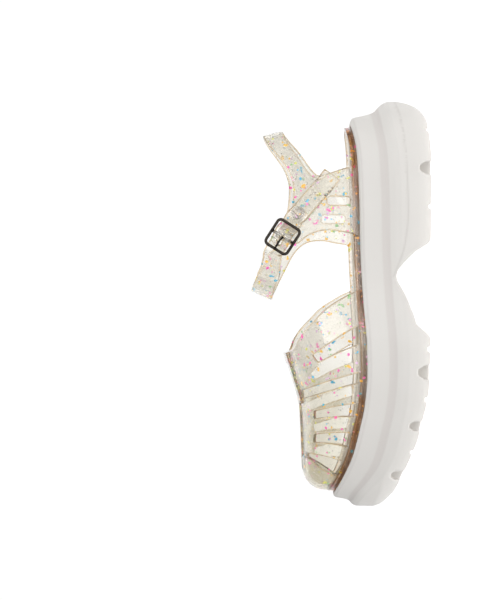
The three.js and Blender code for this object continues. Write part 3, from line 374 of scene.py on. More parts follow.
def polygon_distance(points: np.ndarray, u: np.ndarray, v: np.ndarray) -> np.ndarray:
    """Signed distance to a closed polygon, negative inside.

    Args:
        points: The polygon's corners.
        u: First coordinate of the sample points.
        v: Second coordinate, of a shape that broadcasts with the first.

    Returns:
        The distances.
    """
    u, v = np.broadcast_arrays(u, v)
    nearest = np.full(u.shape, np.inf)
    inside = np.zeros(u.shape, bool)
    for (ax, ay), (bx, by) in zip(points, np.roll(points, -1, axis=0)):
        ex, ey, wx, wy = bx - ax, by - ay, u - ax, v - ay
        length = ex * ex + ey * ey
        if length == 0:
            continue
        t = np.clip((wx * ex + wy * ey) / length, 0, 1)
        nearest = np.minimum(nearest, (wx - ex * t) ** 2 + (wy - ey * t) ** 2)
        if ay != by:
            inside ^= ((ay > v) != (by > v)) & (wx < ex * wy / ey)
    return (np.sqrt(nearest) * np.where(inside, -1, 1)).astype(np.float32)


def soft_max(a: np.ndarray, b: np.ndarray, radius: float) -> np.ndarray:
    """The larger of two distances, with its crease rounded off."""
    h = np.clip(0.5 - 0.5 * (b - a) / radius, 0, 1)
    return b + (a - b) * h + radius * h * (1 - h)


def soft_min(a: np.ndarray, b: np.ndarray, radius: float) -> np.ndarray:
    """The smaller of two distances, with its crease filled."""
    return -soft_max(-a, -b, radius)


def as_distance(values: np.ndarray, step: float) -> np.ndarray:
    """Values that are zero on a surface, divided by their own steepness."""
    steep = np.sqrt(sum(g * g for g in np.gradient(values, step)))
    return (values / np.maximum(steep, 1e-4)).astype(np.float32)


def rounded_bar(u: np.ndarray, v: np.ndarray, half_u: float, half_v: float, radius: float) -> np.ndarray:
    """Distance to a bar's rounded rectangular section, from its centre."""
    qu, qv = np.abs(u) - half_u + radius, np.abs(v) - half_v + radius
    outside = np.hypot(np.maximum(qu, 0), np.maximum(qv, 0))
    return outside + np.minimum(np.maximum(qu, qv), 0) - radius


@dataclass
class Mould:
    """A solid held as signed distances on a lattice, which grows by joins and cuts."""

    low: tuple[float, float, float]
    high: tuple[float, float, float]
    step: float
    place: np.ndarray | None = None
    values: np.ndarray = field(init=False)

    def __post_init__(self) -> None:
        """Starts the lattice empty."""
        self.axes = [np.arange(a, b, self.step, dtype=np.float32) for a, b in zip(self.low, self.high)]
        self.values = np.full([len(axis) for axis in self.axes], 9.0, np.float32)

    def window(self, low: Sequence[float], high: Sequence[float]) -> tuple[Slices, list[np.ndarray]]:
        """A box of the lattice.

        Args:
            low: Its lowest corner.
            high: Its highest corner.

        Returns:
            The slices of the lattice, and the coordinates shaped to broadcast over them.
        """
        slices, grids = [], []
        for k, axis in enumerate(self.axes):
            a, b = np.searchsorted(axis, (low[k], high[k]))
            slices.append(slice(a, b))
            grids.append(axis[a:b].reshape([-1 if j == k else 1 for j in range(3)]))
        return tuple(slices), grids

    def join(self, where: Slices, values: np.ndarray, radius: float) -> None:
        """Adds a solid, with a fillet where it meets the rest."""
        self.values[where] = soft_min(self.values[where], values, radius)

    def cut(self, where: Slices, values: np.ndarray, radius: float) -> None:
        """Takes a solid away, with rounded edges."""
        self.values[where] = soft_max(self.values[where], -values, radius)

    def sample(self, points: np.ndarray) -> np.ndarray:
        """The distances at any points, from their eight neighbours."""
        place = (points - np.array(self.low)) / self.step
        place = np.clip(place, 0, np.array(self.values.shape) - 1.001)
        i = place.astype(int)
        t = place - i
        total = np.zeros(len(points))
        for corner in range(8):
            pick = np.array([corner >> 2 & 1, corner >> 1 & 1, corner & 1])
            weight = np.prod(np.where(pick, t, 1 - t), axis=1)
            total += weight * self.values[tuple((i + pick).T)]
        return total

    def slope(self, points: np.ndarray) -> np.ndarray:
        """The direction in which the distance grows, at any points."""
        reach = self.step * 0.6
        offsets = np.eye(3) * reach
        change = [self.sample(points + o) - self.sample(points - o) for o in offsets]
        return np.stack(change, axis=1) / (2 * reach)

    def bend(self, points: np.ndarray) -> np.ndarray:
        """How sharply the surface is rounded outwards at any points, as one over the radius."""
        reach = self.step * 1.5
        offsets = np.eye(3) * reach
        around = sum(self.sample(points + o) + self.sample(points - o) for o in offsets)
        return (around - 6 * self.sample(points)) / reach**2

    def mesh(self, name: str) -> bpy.types.Object:
        """The solid's surface as a smooth mesh object.

        Args:
            name: The object's name.

        Returns:
            The new object, in metres.
        """
        reach = 3 * self.step
        grid = openvdb.FloatGrid(reach)
        grid.copyFromArray(np.clip(self.values, -reach, reach))
        points, triangles, quads = grid.convertToPolygons(0.0, 0.0)
        points = np.array(self.low) + points * self.step
        for _ in range(2):
            slope = self.slope(points)
            steepness = np.maximum((slope**2).sum(axis=1, keepdims=True), 0.25)
            shift = self.sample(points)[:, None] * slope / steepness
            points = points - np.clip(shift, -self.step / 2, self.step / 2)
        if self.place is not None:
            points = points @ self.place[:3, :3].T + self.place[:3, 3]
        faces = [*map(tuple, triangles.tolist()), *map(tuple, quads.tolist())]
        piece = mesh_object(name, points, faces)
        smooth = piece.modifiers.new("smooth", "SMOOTH")
        smooth.factor, smooth.iterations = 0.5, 3
        count = len(triangles) + 2 * len(quads)
        if count > MOST_TRIANGLES:
            thin = piece.modifiers.new("thin", "DECIMATE")
            thin.ratio = MOST_TRIANGLES / count
        settle(piece)
        self.set_normals(piece)
        return piece

    def set_normals(self, piece: bpy.types.Object) -> None:
        """Gives a piece the mould's own directions as its normals, so that its gloss has no facets."""
        points = corner_points(piece)
        turn = np.eye(3)
        if self.place is not None:
            turn = self.place[:3, :3]
            points = (points - self.place[:3, 3]) @ turn
        piece.data.normals_split_custom_set_from_vertices(unit(self.slope(points)) @ turn.T)


def mesh_object(
    name: str, points: np.ndarray, faces: Sequence[Sequence[int]], smooth: bool = True
) -> bpy.types.Object:
    """A new mesh object.

    Args:
        name: The object's name.
        points: Its corners in millimetres, as along, across and up.
        faces: The corners of each face, by number.
        smooth: Whether it is shaded smoothly.

    Returns:
        The object, linked into the scene.
    """
    mesh = bpy.data.meshes.new(name)
    placed = (np.asarray(points, float) - (SOLE_LENGTH / 2, 0, 0)) * MM
    mesh.from_pydata(placed.tolist(), [], faces)
    mesh.update()
    mesh.polygons.foreach_set("use_smooth", [smooth] * len(mesh.polygons))
    piece = bpy.data.objects.new(name, mesh)
    bpy.context.scene.collection.objects.link(piece)
    return piece


def corner_points(piece: bpy.types.Object) -> np.ndarray:
    """The corners of a piece in millimetres, as along, across and up."""
    corners = np.zeros(len(piece.data.vertices) * 3)
    piece.data.vertices.foreach_get("co", corners)
    return corners.reshape(-1, 3) / MM + (SOLE_LENGTH / 2, 0, 0)


def mark(piece: bpy.types.Object, name: str, shares: np.ndarray) -> None:
    """Keeps a share between 0 and 1 at each corner, for a finish to read.

    Args:
        piece: The mesh object.
        name: The mark's name.
        shares: One number a corner.
    """
    layer = piece.data.attributes.new(name, "FLOAT", "POINT")
    layer.data.foreach_set("value", np.clip(shares, 0, 1).astype(np.float32))


def settle(piece: bpy.types.Object) -> None:
    """Applies all the modifiers of a piece."""
    evaluated = piece.evaluated_get(bpy.context.evaluated_depsgraph_get())
    mesh = bpy.data.meshes.new_from_object(evaluated)
    old = piece.data
    piece.modifiers.clear()
    piece.data = mesh
    bpy.data.meshes.remove(old)


class Wire:
    """A socket of a shader tree, whose numbers can be added, multiplied and so on."""

    def __init__(self, recipe: "Recipe", socket: bpy.types.NodeSocket) -> None:
        """Keeps the socket and the recipe that it belongs to."""
        self.recipe, self.socket = recipe, socket

    def maths(self, operation: str, first: "Number", second: "Number") -> "Wire":
        """A Math node on two numbers."""
        node = self.recipe.add("Math", {"operation": operation}, {0: first, 1: second})
        return Wire(self.recipe, node.outputs[0])

    def __add__(self, other: "Number") -> "Wire":
        """self + other."""
        return self.maths("ADD", self, other)

    def __radd__(self, other: "Number") -> "Wire":
        """other + self."""
        return self.maths("ADD", other, self)

    def __sub__(self, other: "Number") -> "Wire":
        """self - other."""
        return self.maths("SUBTRACT", self, other)

    def __rsub__(self, other: "Number") -> "Wire":
        """other - self."""
        return self.maths("SUBTRACT", other, self)

    def __mul__(self, other: "Number") -> "Wire":
        """self * other."""
        return self.maths("MULTIPLY", self, other)

    def __rmul__(self, other: "Number") -> "Wire":
        """other * self."""
        return self.maths("MULTIPLY", other, self)


Number = Wire | float


class Recipe:
    """A shader tree and the few ways in which it grows."""

    def __init__(self, tree: bpy.types.NodeTree) -> None:
        """Empties the tree."""
        self.tree = tree
        tree.nodes.clear()

    def wire(self, socket: bpy.types.NodeSocket) -> Wire:
        """A socket as a wire."""
        return Wire(self, socket)

    def add(
        self, kind: str, settings: dict | None = None, sockets: dict | None = None
    ) -> bpy.types.ShaderNode:
        """Adds one node.

        Args:
            kind: Blender's name of the node's type, after "ShaderNode".
            settings: The node's own settings, which are set before its sockets.
            sockets: The value or link of each input, by name or by number.

        Returns:
            The node.
        """
        node = self.tree.nodes.new("ShaderNode" + kind)
        for key, value in (settings or {}).items():
            setattr(node, key, value)
        for key, value in (sockets or {}).items():
            if isinstance(value, Wire):
                value = value.socket
            if isinstance(value, bpy.types.NodeSocket):
                self.tree.links.new(value, node.inputs[key])
            else:
                node.inputs[key].default_value = value
        return node

    def noise(self, size: float, detail: float = 2.0, stretch: Sequence[float] = (1, 1, 1)) -> Wire:
        """Soft noise on the object.

        Args:
            size: The size of its patches in millimetres.
            detail: How many finer layers it has.
            stretch: How much finer it is along each axis.

        Returns:
            Its value, about 0.5 on average.
        """
        place = self.add("TexCoord").outputs["Object"]
        if tuple(stretch) != (1, 1, 1):
            stretched = self.add("VectorMath", {"operation": "MULTIPLY"}, {0: place, 1: tuple(stretch)})
            place = stretched.outputs[0]
        node = self.add("TexNoise", {}, {"Vector": place, "Scale": 1 / (size * MM), "Detail": detail})
        return self.wire(node.outputs[0])

    def cells(self, size: float) -> Wire:
        """The distance to the nearest of many scattered points, as a grain.

        Args:
            size: The distance between the points in millimetres.

        Returns:
            Its value, from 0 at a point to about 1.
        """
        place = self.add("TexCoord").outputs["Object"]
        node = self.add("TexVoronoi", {}, {"Vector": place, "Scale": 1 / (size * MM)})
        return self.wire(node.outputs["Distance"])

    def mark(self, name: str) -> Wire:
        """The share that a piece keeps under a name, which is 0 on pieces without it."""
        return self.wire(self.add("Attribute", {"attribute_name": name}).outputs["Fac"])

    def mix(self, share: Wire, first: "Tint", second: "Tint") -> bpy.types.NodeSocket:
        """A colour between two."""
        node = self.add("Mix", {"data_type": "RGBA"}, {0: share, 6: rgba(first), 7: rgba(second)})
        return node.outputs[2]

    def bump(self, height: Wire, depth: float, strength: float = 1.0) -> bpy.types.NodeSocket:
        """A bump.

        Args:
            height: Its height, from 0 to 1.
            depth: How many millimetres that is.
            strength: Its strength.

        Returns:
            The bent normal.
        """
        node = self.add("Bump", {}, {"Height": height, "Distance": depth * MM, "Strength": strength})
        return node.outputs[0]


Tint = Colour | bpy.types.NodeSocket


def rgba(colour: Tint) -> "tuple[float, ...] | bpy.types.NodeSocket":
    """A plain colour with its alpha, or a link as it is."""
    return (*colour, 1) if isinstance(colour, tuple) else colour


@dataclass(frozen=True)
class Finish:
    """What a surface looks like."""

    name: str

    def material(self) -> bpy.types.Material:
        """The material, made once for each name."""
        if self.name in bpy.data.materials:
            return bpy.data.materials[self.name]
        material = bpy.data.materials.new(self.name)
        material.use_nodes = True
        recipe = Recipe(material.node_tree)
        recipe.add("OutputMaterial", {}, self.sockets(recipe))
        return material

    def sockets(self, recipe: Recipe) -> dict:
        """What goes into the material's output."""
        raise NotImplementedError


@dataclass(frozen=True)
class FoamFinish(Finish):
    """Matt moulded foam with a fine grain."""

    light: Colour = (0.76, 0.742, 0.712)
    dark: Colour = (0.70, 0.678, 0.65)
    # painted shade on the step of the sole's side
    painted_ledge_shade: Colour = (0.665, 0.63, 0.605)
    # painted shade along the heel's crease and just under the lip
    line: Colour = (0.52, 0.49, 0.465)

    def sockets(self, recipe: Recipe) -> dict:
        """Cloudy off-white with a pebbled skin, painted shade on the sole's side step, and thin painted shade
        along the heel's crease and just under the lip, where the bump also carves a shallow groove.
        """
        cloud = recipe.noise(size=38, detail=3)
        grain = recipe.noise(size=0.55, detail=2)
        wave = recipe.noise(size=9, detail=1)
        painted_ledge_shade, line = recipe.mark("painted_ledge_shade"), recipe.mark("line")
        skin = recipe.mix(cloud * 0.7 + grain * 0.3, self.dark, self.light)
        shader = recipe.add("BsdfPrincipled", {}, {
            "Base Color": recipe.mix(line, recipe.mix(painted_ledge_shade, skin, self.painted_ledge_shade), self.line),
            "Roughness": 0.5 + 0.16 * grain,
            "Normal": recipe.bump(grain * 0.25 + wave * 0.75 - line * 1.5, depth=0.16, strength=0.5),
            "IOR": 1.46,
        })  # fmt: skip
        return {"Surface": shader.outputs[0]}


@dataclass(frozen=True)
class JellyFinish(Finish):
    """Clear glossy soft plastic, yellowish where it is thick, with painted shade where the moulding is
    marked: at the toe, at sharp edges and along the foot of the rim.
    """

    light: Colour = (0.995, 0.985, 0.955)
    dark: Colour = (0.965, 0.95, 0.905)
    # painted shade towards the toe
    toe: Colour = (0.84, 0.80, 0.66)
    # painted shade: golden brown at sharp edges, in place of the dark that thick edges refract
    edge: Colour = (0.76, 0.57, 0.32)
    # painted shade and dark reflection along the rim's foot
    rim: Colour = (0.46, 0.16, 0.03)
    bed_light: Colour = (0.80, 0.75, 0.63)
    bed_dark: Colour = (0.72, 0.66, 0.53)
    absorbed: Colour = (0.68, 0.55, 0.12)
    density: float = 26.0

    def sockets(self, recipe: Recipe) -> dict:
        """Clear, with painted golden shade at the edges, a painted brown band of shade and dark reflection
        along the rim's foot, painted shade at the toe, a creamy bed round the pads and a tint within.
        """
        cloud = recipe.noise(size=14, detail=2)
        wave = recipe.noise(size=5.5, detail=1)
        streak = recipe.noise(size=5, detail=2, stretch=(0.2, 1, 1))
        # painted shade: yellowish grey towards the toe
        body = recipe.mix(recipe.mark("toe"), recipe.mix(cloud, self.dark, self.light), self.toe)
        # painted shade at the sharp edges
        refraction_shaded = recipe.mix(recipe.mark("edge") * 0.8, body, self.edge)
        creamy = recipe.add("BsdfPrincipled", {}, {
            "Base Color": recipe.mix(cloud, self.bed_dark, self.bed_light),
            "Roughness": 0.12 + 0.1 * cloud,
            "Normal": recipe.bump(wave, depth=0.1, strength=0.35),
        })  # fmt: skip
        clear = recipe.add("BsdfPrincipled", {}, {
            # painted shade and dark reflection along the rim's foot, streaked along its length
            "Base Color": recipe.mix(recipe.mark("rim") * (streak + 0.4), refraction_shaded, self.rim),
            "Roughness": 0.02 + 0.05 * cloud,
            "Normal": recipe.bump(wave, depth=0.1, strength=0.35),
            "Transmission Weight": 0.86,
            "Coat Weight": 0.5,
            "Coat Roughness": 0.22,
            "IOR": 1.48,
        })  # fmt: skip
        parts = {0: recipe.mark("bed"), 1: clear.outputs[0], 2: creamy.outputs[0]}
        shader = recipe.add("MixShader", {}, parts)
        depth = recipe.add("VolumeAbsorption", {}, {"Color": rgba(self.absorbed), "Density": self.density})
        return {"Surface": shader.outputs[0], "Volume": depth.outputs[0]}


@dataclass(frozen=True)
class ClearFinish(Finish):
    """Hard smoky clear plastic, polished."""

    light: Colour = (0.93, 0.91, 0.90)
    dark: Colour = (0.28, 0.25, 0.23)

    def sockets(self, recipe: Recipe) -> dict:
        """Clear with darker flow marks."""
        flow = recipe.noise(size=1.6, detail=3)
        shader = recipe.add("BsdfPrincipled", {}, {
            "Base Color": recipe.mix(flow, self.dark, self.light),
            "Roughness": 0.02 + 0.06 * flow,
            "Normal": recipe.bump(flow, depth=0.04, strength=0.3),
            "Transmission Weight": 1.0,
            "IOR": 1.56,
        })  # fmt: skip
        return {"Surface": shader.outputs[0]}


@dataclass(frozen=True)
class PadFinish(Finish):
    """The thin matt skin of the insole pads."""

    light: Colour = (0.83, 0.77, 0.71)
    dark: Colour = (0.76, 0.69, 0.63)

    def sockets(self, recipe: Recipe) -> dict:
        """Pinkish beige with a fine leather-like grain."""
        cloud = recipe.noise(size=22, detail=3)
        grain = recipe.cells(size=0.7)
        shader = recipe.add("BsdfPrincipled", {}, {
            "Base Color": recipe.mix(cloud * 0.75 + grain * 0.25, self.dark, self.light),
            "Roughness": 0.52 + 0.2 * grain,
            "Normal": recipe.bump(grain, depth=0.12, strength=0.5),
        })  # fmt: skip
        return {"Surface": shader.outputs[0]}


@dataclass(frozen=True)
class MetalFinish(Finish):
    """Polished dark nickel plate."""

    light: Colour = (0.04, 0.032, 0.025)
    dark: Colour = (0.01, 0.008, 0.006)

    def sockets(self, recipe: Recipe) -> dict:
        """Plate with a slight cloud, fine polishing lines and small dents."""
        cloud = recipe.noise(size=4, detail=2)
        lines = recipe.noise(size=0.4, detail=2, stretch=(1, 1, 8))
        shader = recipe.add("BsdfPrincipled", {}, {
            "Base Color": recipe.mix(cloud, self.dark, self.light),
            "Metallic": 1.0,
            "Roughness": 0.05 + 0.1 * lines,
            "Coat Weight": 0.15,
            "Coat Roughness": 0.03,
            "Normal": recipe.bump(cloud * 0.8 + lines * 0.2, depth=0.05, strength=0.4),
        })  # fmt: skip
        return {"Surface": shader.outputs[0]}


@dataclass(frozen=True)
class GlowingFoilFinish(Finish):
    """A flake of coloured foil, which glows with painted light of its own colour."""

    colour: Colour = (0.5, 0.5, 0.5)

    def sockets(self, recipe: Recipe) -> dict:
        """The foil's colour, which changes a little from flake to flake, and a painted glow in that colour.
        """
        change = recipe.noise(size=3, detail=0)
        paler = tuple(c * 0.6 + 0.4 for c in self.colour)
        shader = recipe.add("BsdfPrincipled", {}, {
            "Base Color": recipe.mix(change * 0.25, self.colour, paler),
            "Metallic": 0.1,
            "Roughness": 0.25 + 0.3 * change,
            # painted light: the flakes and specks glow in their own colour
            "Emission Color": rgba(self.colour),
            "Emission Strength": 0.6,
        })  # fmt: skip
        return {"Surface": shader.outputs[0]}


@dataclass(frozen=True)
class FloorFinish(Finish):
    """The white studio floor."""

    tone: Colour = (0.60, 0.60, 0.60)
    cloud_tone: Colour = (0.58, 0.58, 0.58)

    def sockets(self, recipe: Recipe) -> dict:
        """White, with a light of its own that keeps its shadows faint."""
        cloud = recipe.noise(size=60, detail=2)
        shader = recipe.add("BsdfPrincipled", {}, {
            "Base Color": recipe.mix(cloud, self.cloud_tone, self.tone),
            "Roughness": 1.0,
            "Specular IOR Level": 0.0,
            "Emission Color": rgba((1.0, 1.0, 1.0)),
            "Emission Strength": 0.77,
        })  # fmt: skip
        return {"Surface": shader.outputs[0]}


def hand_in(piece: bpy.types.Object, finish: Finish, node: str | None = None) -> None:
    """Dresses a piece, fixes it to the shoe and reports it.

    Args:
        piece: The mesh object.
        finish: Its finish.
        node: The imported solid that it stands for, if any.
    """
    piece.data.materials.clear()
    piece.data.materials.append(finish.material())
    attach(piece, "root")
    if node:
        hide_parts(node)
    log.info("%s: %d triangles", piece.name, sum(len(p.vertices) - 2 for p in piece.data.polygons))


sole_top = SOLE_TOP.curve("up")
sole_underside = SOLE_UNDERSIDE.curve("up")


@dataclass
class Platform:
    """The off-white foamed platform sole."""

    step: float = 0.85
    pocket_depth: float = 3.0
    pocket_room: float = 0.4
    lip_width: float = 2.0
    lug_gap_reach: float = 17.0
    lug_gap_lean: float = 0.8
    groove_lean: float = 0.5
    edge_radius: float = 1.1
    # painted shade on the side step: its band of depths below the sole's top, its blend and its strength
    ledge_band: tuple[float, float] = (14.6, 20.4)
    ledge_lead: float = 0.8
    ledge_blend: float = 1.2
    ledge_shade: float = 0.8
    crease_shade: float = 0.4
    lip_shade: float = 0.3
    lip_line: float = 2.4
    line_width: float = 0.6
    top_radius: float = 0.8
    lower_radius: float = 1.2
    pocket_radius: float = 0.6
    groove_radius: float = 0.7

    def shape(self) -> Mould:
        """The platform as a mould."""
        mould = Mould((-2, -57, -2), (270, 57, 64), self.step)
        where, (s, y, z) = mould.window(mould.low, mould.high)
        plan = polygon_distance(Outline(SOLE_PLAN).ring(240), s, y)
        rim_ring = Outline(RIM_PLAN).ring(240)
        lip = polygon_distance(inset(rim_ring, -self.lip_width), s, y)
        pocket = polygon_distance(inset(rim_ring, -self.pocket_room), s, y)
        top = sole_top(s).astype(np.float32)
        under = sole_underside(s).astype(np.float32)
        squeeze_high, squeeze_low = SQUEEZE.curve("high")(s), SQUEEZE.curve("low")(s)
        share = HIGH_RINGS.curve("share", "down")((top - z) / squeeze_high).astype(np.float32)
        flank = as_distance(share * np.maximum(lip - plan, 1) + plan, mould.step)
        pulled_in = LOW_RINGS.curve("inset", "up")((z - under) / squeeze_low).astype(np.float32)
        body = soft_max(flank, as_distance(plan + pulled_in, mould.step), 1.0)
        body = soft_max(soft_max(body, z - top, self.top_radius), under - z, self.lower_radius)
        mould.join(where, body, SHARP)
        mould.cut(where, np.maximum(pocket, top - self.pocket_depth - z), self.pocket_radius)
        self.cut_tread(mould, where, s, y, z)
        return mould

    def cut_tread(self, mould: Mould, where: Slices, s: np.ndarray, y: np.ndarray, z: np.ndarray) -> None:
        """Cuts the arch, the gaps between the lugs and the grooves.

        Args:
            mould: The platform so far.
            where: The part of its lattice to cut.
            s: Along, shaped to broadcast over that part.
            y: Across.
            z: Up.
        """
        arch = ARCH_EDGE.edge()
        arch = np.concatenate([arch[:1], spline_points(arch[1:-1], 60), arch[-1:]])
        mould.cut(where, polygon_distance(arch, s, z), self.edge_radius)
        outline = Outline(SOLE_PLAN)
        for start, end, depth in LUG_GAPS:
            middle, corner = (start + end) / 2, (end - start) * 0.3
            roof = float(sole_underside(middle)) + depth
            shoulder = roof - corner * 1.6
            half = [(end + self.lug_gap_lean, BELOW), (end, shoulder), (end - corner, roof)]
            mirrored = [(2 * middle - a, b) for a, b in reversed(half)]
            gap = polygon_distance(np.array([*half, *mirrored]), s, z)
            for side in (1, -1):
                edge = float(outline.sides[side](outline.turn_of(middle)))
                reach = abs(edge) - self.lug_gap_reach - side * y
                mould.cut(where, soft_max(gap, reach, 1.0), self.edge_radius)
        for start, end, depth in TREAD_GROOVES:
            roof = float(sole_underside((start + end) / 2)) + depth
            low_start, low_end = start - self.groove_lean, end + self.groove_lean
            groove = [(low_start, BELOW), (start, roof), (end, roof), (low_end, BELOW)]
            mould.cut(where, polygon_distance(np.array(groove), s, z), self.groove_radius)

    def build(self, finish: "Finish") -> None:
        """Makes the sole and dresses it."""
        piece = self.shape().mesh("sole_foam")
        self.add_marks(piece)
        hand_in(piece, finish, "sole")

    def add_marks(self, piece: bpy.types.Object) -> None:
        """Marks the painted shade on the sole's side step, and the thin painted shade along the heel's crease
        and just under the lip.

        Args:
            piece: The sole's mesh.
        """
        along, _, up = corner_points(piece).T
        down = (sole_top(along) - up) / SQUEEZE.curve("high")(along)
        # painted shade: a darker band on the step of the sole's side
        start, end = self.ledge_band
        above = ease((down - start + self.ledge_lead) / self.ledge_blend)
        below = ease((end - down) / self.ledge_blend)
        mark(piece, "painted_ledge_shade", self.ledge_shade * above * below)
        # painted shade: thin dark lines along the heel's crease and just under the lip; the bump also carves
        # them as a shallow groove
        from_crease = run_distance(HEEL_CREASE.edge(60), along, up)
        crease = self.crease_shade * np.exp(-((from_crease / self.line_width) ** 2))
        lip = self.lip_shade * np.exp(-(((down - self.lip_line) / self.line_width) ** 2))
        mark(piece, "line", np.maximum(crease, lip))


@dataclass
class InstepStrap:
    """The run of the instep strap over the lateral trunk, and the place of the buckle on it."""

    along: float = 91.1
    up: float = 97.0
    tilt: float = math.radians(32)
    free_from: float = 10.1
    free_to: float = 18.2

    def surface(self, along: np.ndarray, up: np.ndarray) -> tuple[np.ndarray, np.ndarray]:
        """The trunk's mid-surface on the lateral side.

        Args:
            along: Places along.
            up: Places up.

        Returns:
            The points and the outward normals there.
        """

        def point(a: np.ndarray, u: np.ndarray) -> np.ndarray:
            """The points of the surface itself."""
            level = {key: ANKLE_LEVELS.curve(key, "up")(u) for key in ("high", "rear", "front", "bulge")}
            turn = np.arccos(np.clip(1 - 2 * (a - level["rear"]) / (level["front"] - level["rear"]), -1, 1))
            low, high = Outline(ANKLE_LOW).sides[1](turn), Outline(ANKLE_HIGH).sides[1](turn)
            across = low + (high - low) * level["high"] + level["bulge"] * np.sin(turn)
            return np.stack([a, across, u], axis=-1)

        along, up = np.asarray(along, float), np.asarray(up, float)
        ahead = point(along + 1, up) - point(along - 1, up)
        above = point(along, up + 1) - point(along, up - 1)
        normal = np.cross(above, ahead)
        return point(along, up), normal / np.linalg.norm(normal, axis=-1, keepdims=True)

    def band(self, count: int) -> "Band":
        """The strap as a band.

        Args:
            count: The number of its pieces.

        Returns:
            The band, with even stations.
        """
        ahead, aside, out = (STRAP_RUN[key] for key in ("ahead", "aside", "out"))
        cos, sin = math.cos(self.tilt), math.sin(self.tilt)
        along, up = self.along + ahead * cos - aside * sin, self.up + ahead * sin + aside * cos
        points, normals = self.surface(along, up)
        centres = even_points(spline_points(points + normals * out[:, None], 900), count)
        over_buckle = self.surface(np.array(self.along), np.array(self.up))[1]
        own = self.surface(centres[:, 0], centres[:, 2])[1]
        away = np.abs(centres[:, 0] - self.along)
        free = ease((away - self.free_from) / (self.free_to - self.free_from))[:, None]
        return Band.through(centres, over_buckle * (1 - free) + own * free)

    def place(self, behind: float, out: float) -> np.ndarray:
        """A frame over the trunk: x along the strap towards the front, y across it, z outwards.

        Args:
            behind: How far behind the buckle's centre it lies.
            out: Its height over the trunk's mid-surface.

        Returns:
            A 4 by 4 matrix in millimetres.
        """
        direction = np.array([math.cos(self.tilt), 0, math.sin(self.tilt)])
        point, normal = self.surface(self.along - behind * direction[0], self.up - behind * direction[2])
        forward = direction - normal * (direction @ normal)
        forward /= np.linalg.norm(forward)
        matrix = np.eye(4)
        matrix[:3, 0], matrix[:3, 1], matrix[:3, 2] = forward, np.cross(normal, forward), normal
        matrix[:3, 3] = point + normal * out
        return matrix


@dataclass
class Band:
    """A flat band through stations."""

    centres: np.ndarray
    tangents: np.ndarray
    sideways: np.ndarray
    normals: np.ndarray

    @classmethod
    def through(cls, centres: np.ndarray, outward: np.ndarray) -> "Band":
        """A band through the centres, with its flat side turned outward."""
        tangents = unit(np.gradient(centres, axis=0))
        sideways = unit(np.cross(outward, tangents))
        return cls(centres, tangents, sideways, np.cross(tangents, sideways))

    def add_to(self, mould: Mould, width: float, thickness: float, corner: float, fillet: float) -> None:
        """Adds the band to a mould.

        Args:
            mould: The mould that it becomes part of.
            width: The band's width.
            thickness: Its thickness.
            corner: The radius of its long edges.
            fillet: The radius where it meets what is there.
        """
        margin = width * 0.75
        where, (s, y, z) = mould.window(self.centres.min(axis=0) - margin, self.centres.max(axis=0) + margin)
        shape = np.broadcast_shapes(s.shape, y.shape, z.shape)
        points = np.stack([np.broadcast_to(axis, shape).ravel() for axis in (s, y, z)], axis=1)
        values = np.full(len(points), 9.0, np.float32)
        chunk, skip, near_end, last = 40_000, 4, 10, len(self.centres) - 1
        for i in range(0, len(points), chunk):
            p = points[i : i + chunk]
            away = ((p[:, None, :] - self.centres[None, ::skip, :]) ** 2).sum(axis=2)
            near = np.argmin(away, axis=1) * skip
            best, pick = np.full(len(p), np.inf), near.copy()
            for shift in range(-skip, skip + 1):
                k = np.clip(near + shift, 0, last)
                distance = ((p - self.centres[k]) ** 2).sum(axis=1)
                better = distance < best
                best, pick = np.where(better, distance, best), np.where(better, k, pick)
            before_start = (self.centres[0] - p) @ self.tangents[0]
            past_end = (p - self.centres[last]) @ self.tangents[last]
            beyond = np.where(pick < near_end, before_start, np.where(pick > last - near_end, past_end, -9.0))
            local = p - self.centres[pick]
            u, v = (local * self.sideways[pick]).sum(axis=1), (local * self.normals[pick]).sum(axis=1)
            section = rounded_bar(u, v, width / 2, thickness / 2, corner)
            values[i : i + chunk] = soft_max(section, beyond, corner)
        mould.join(where, values.reshape(shape), fillet)


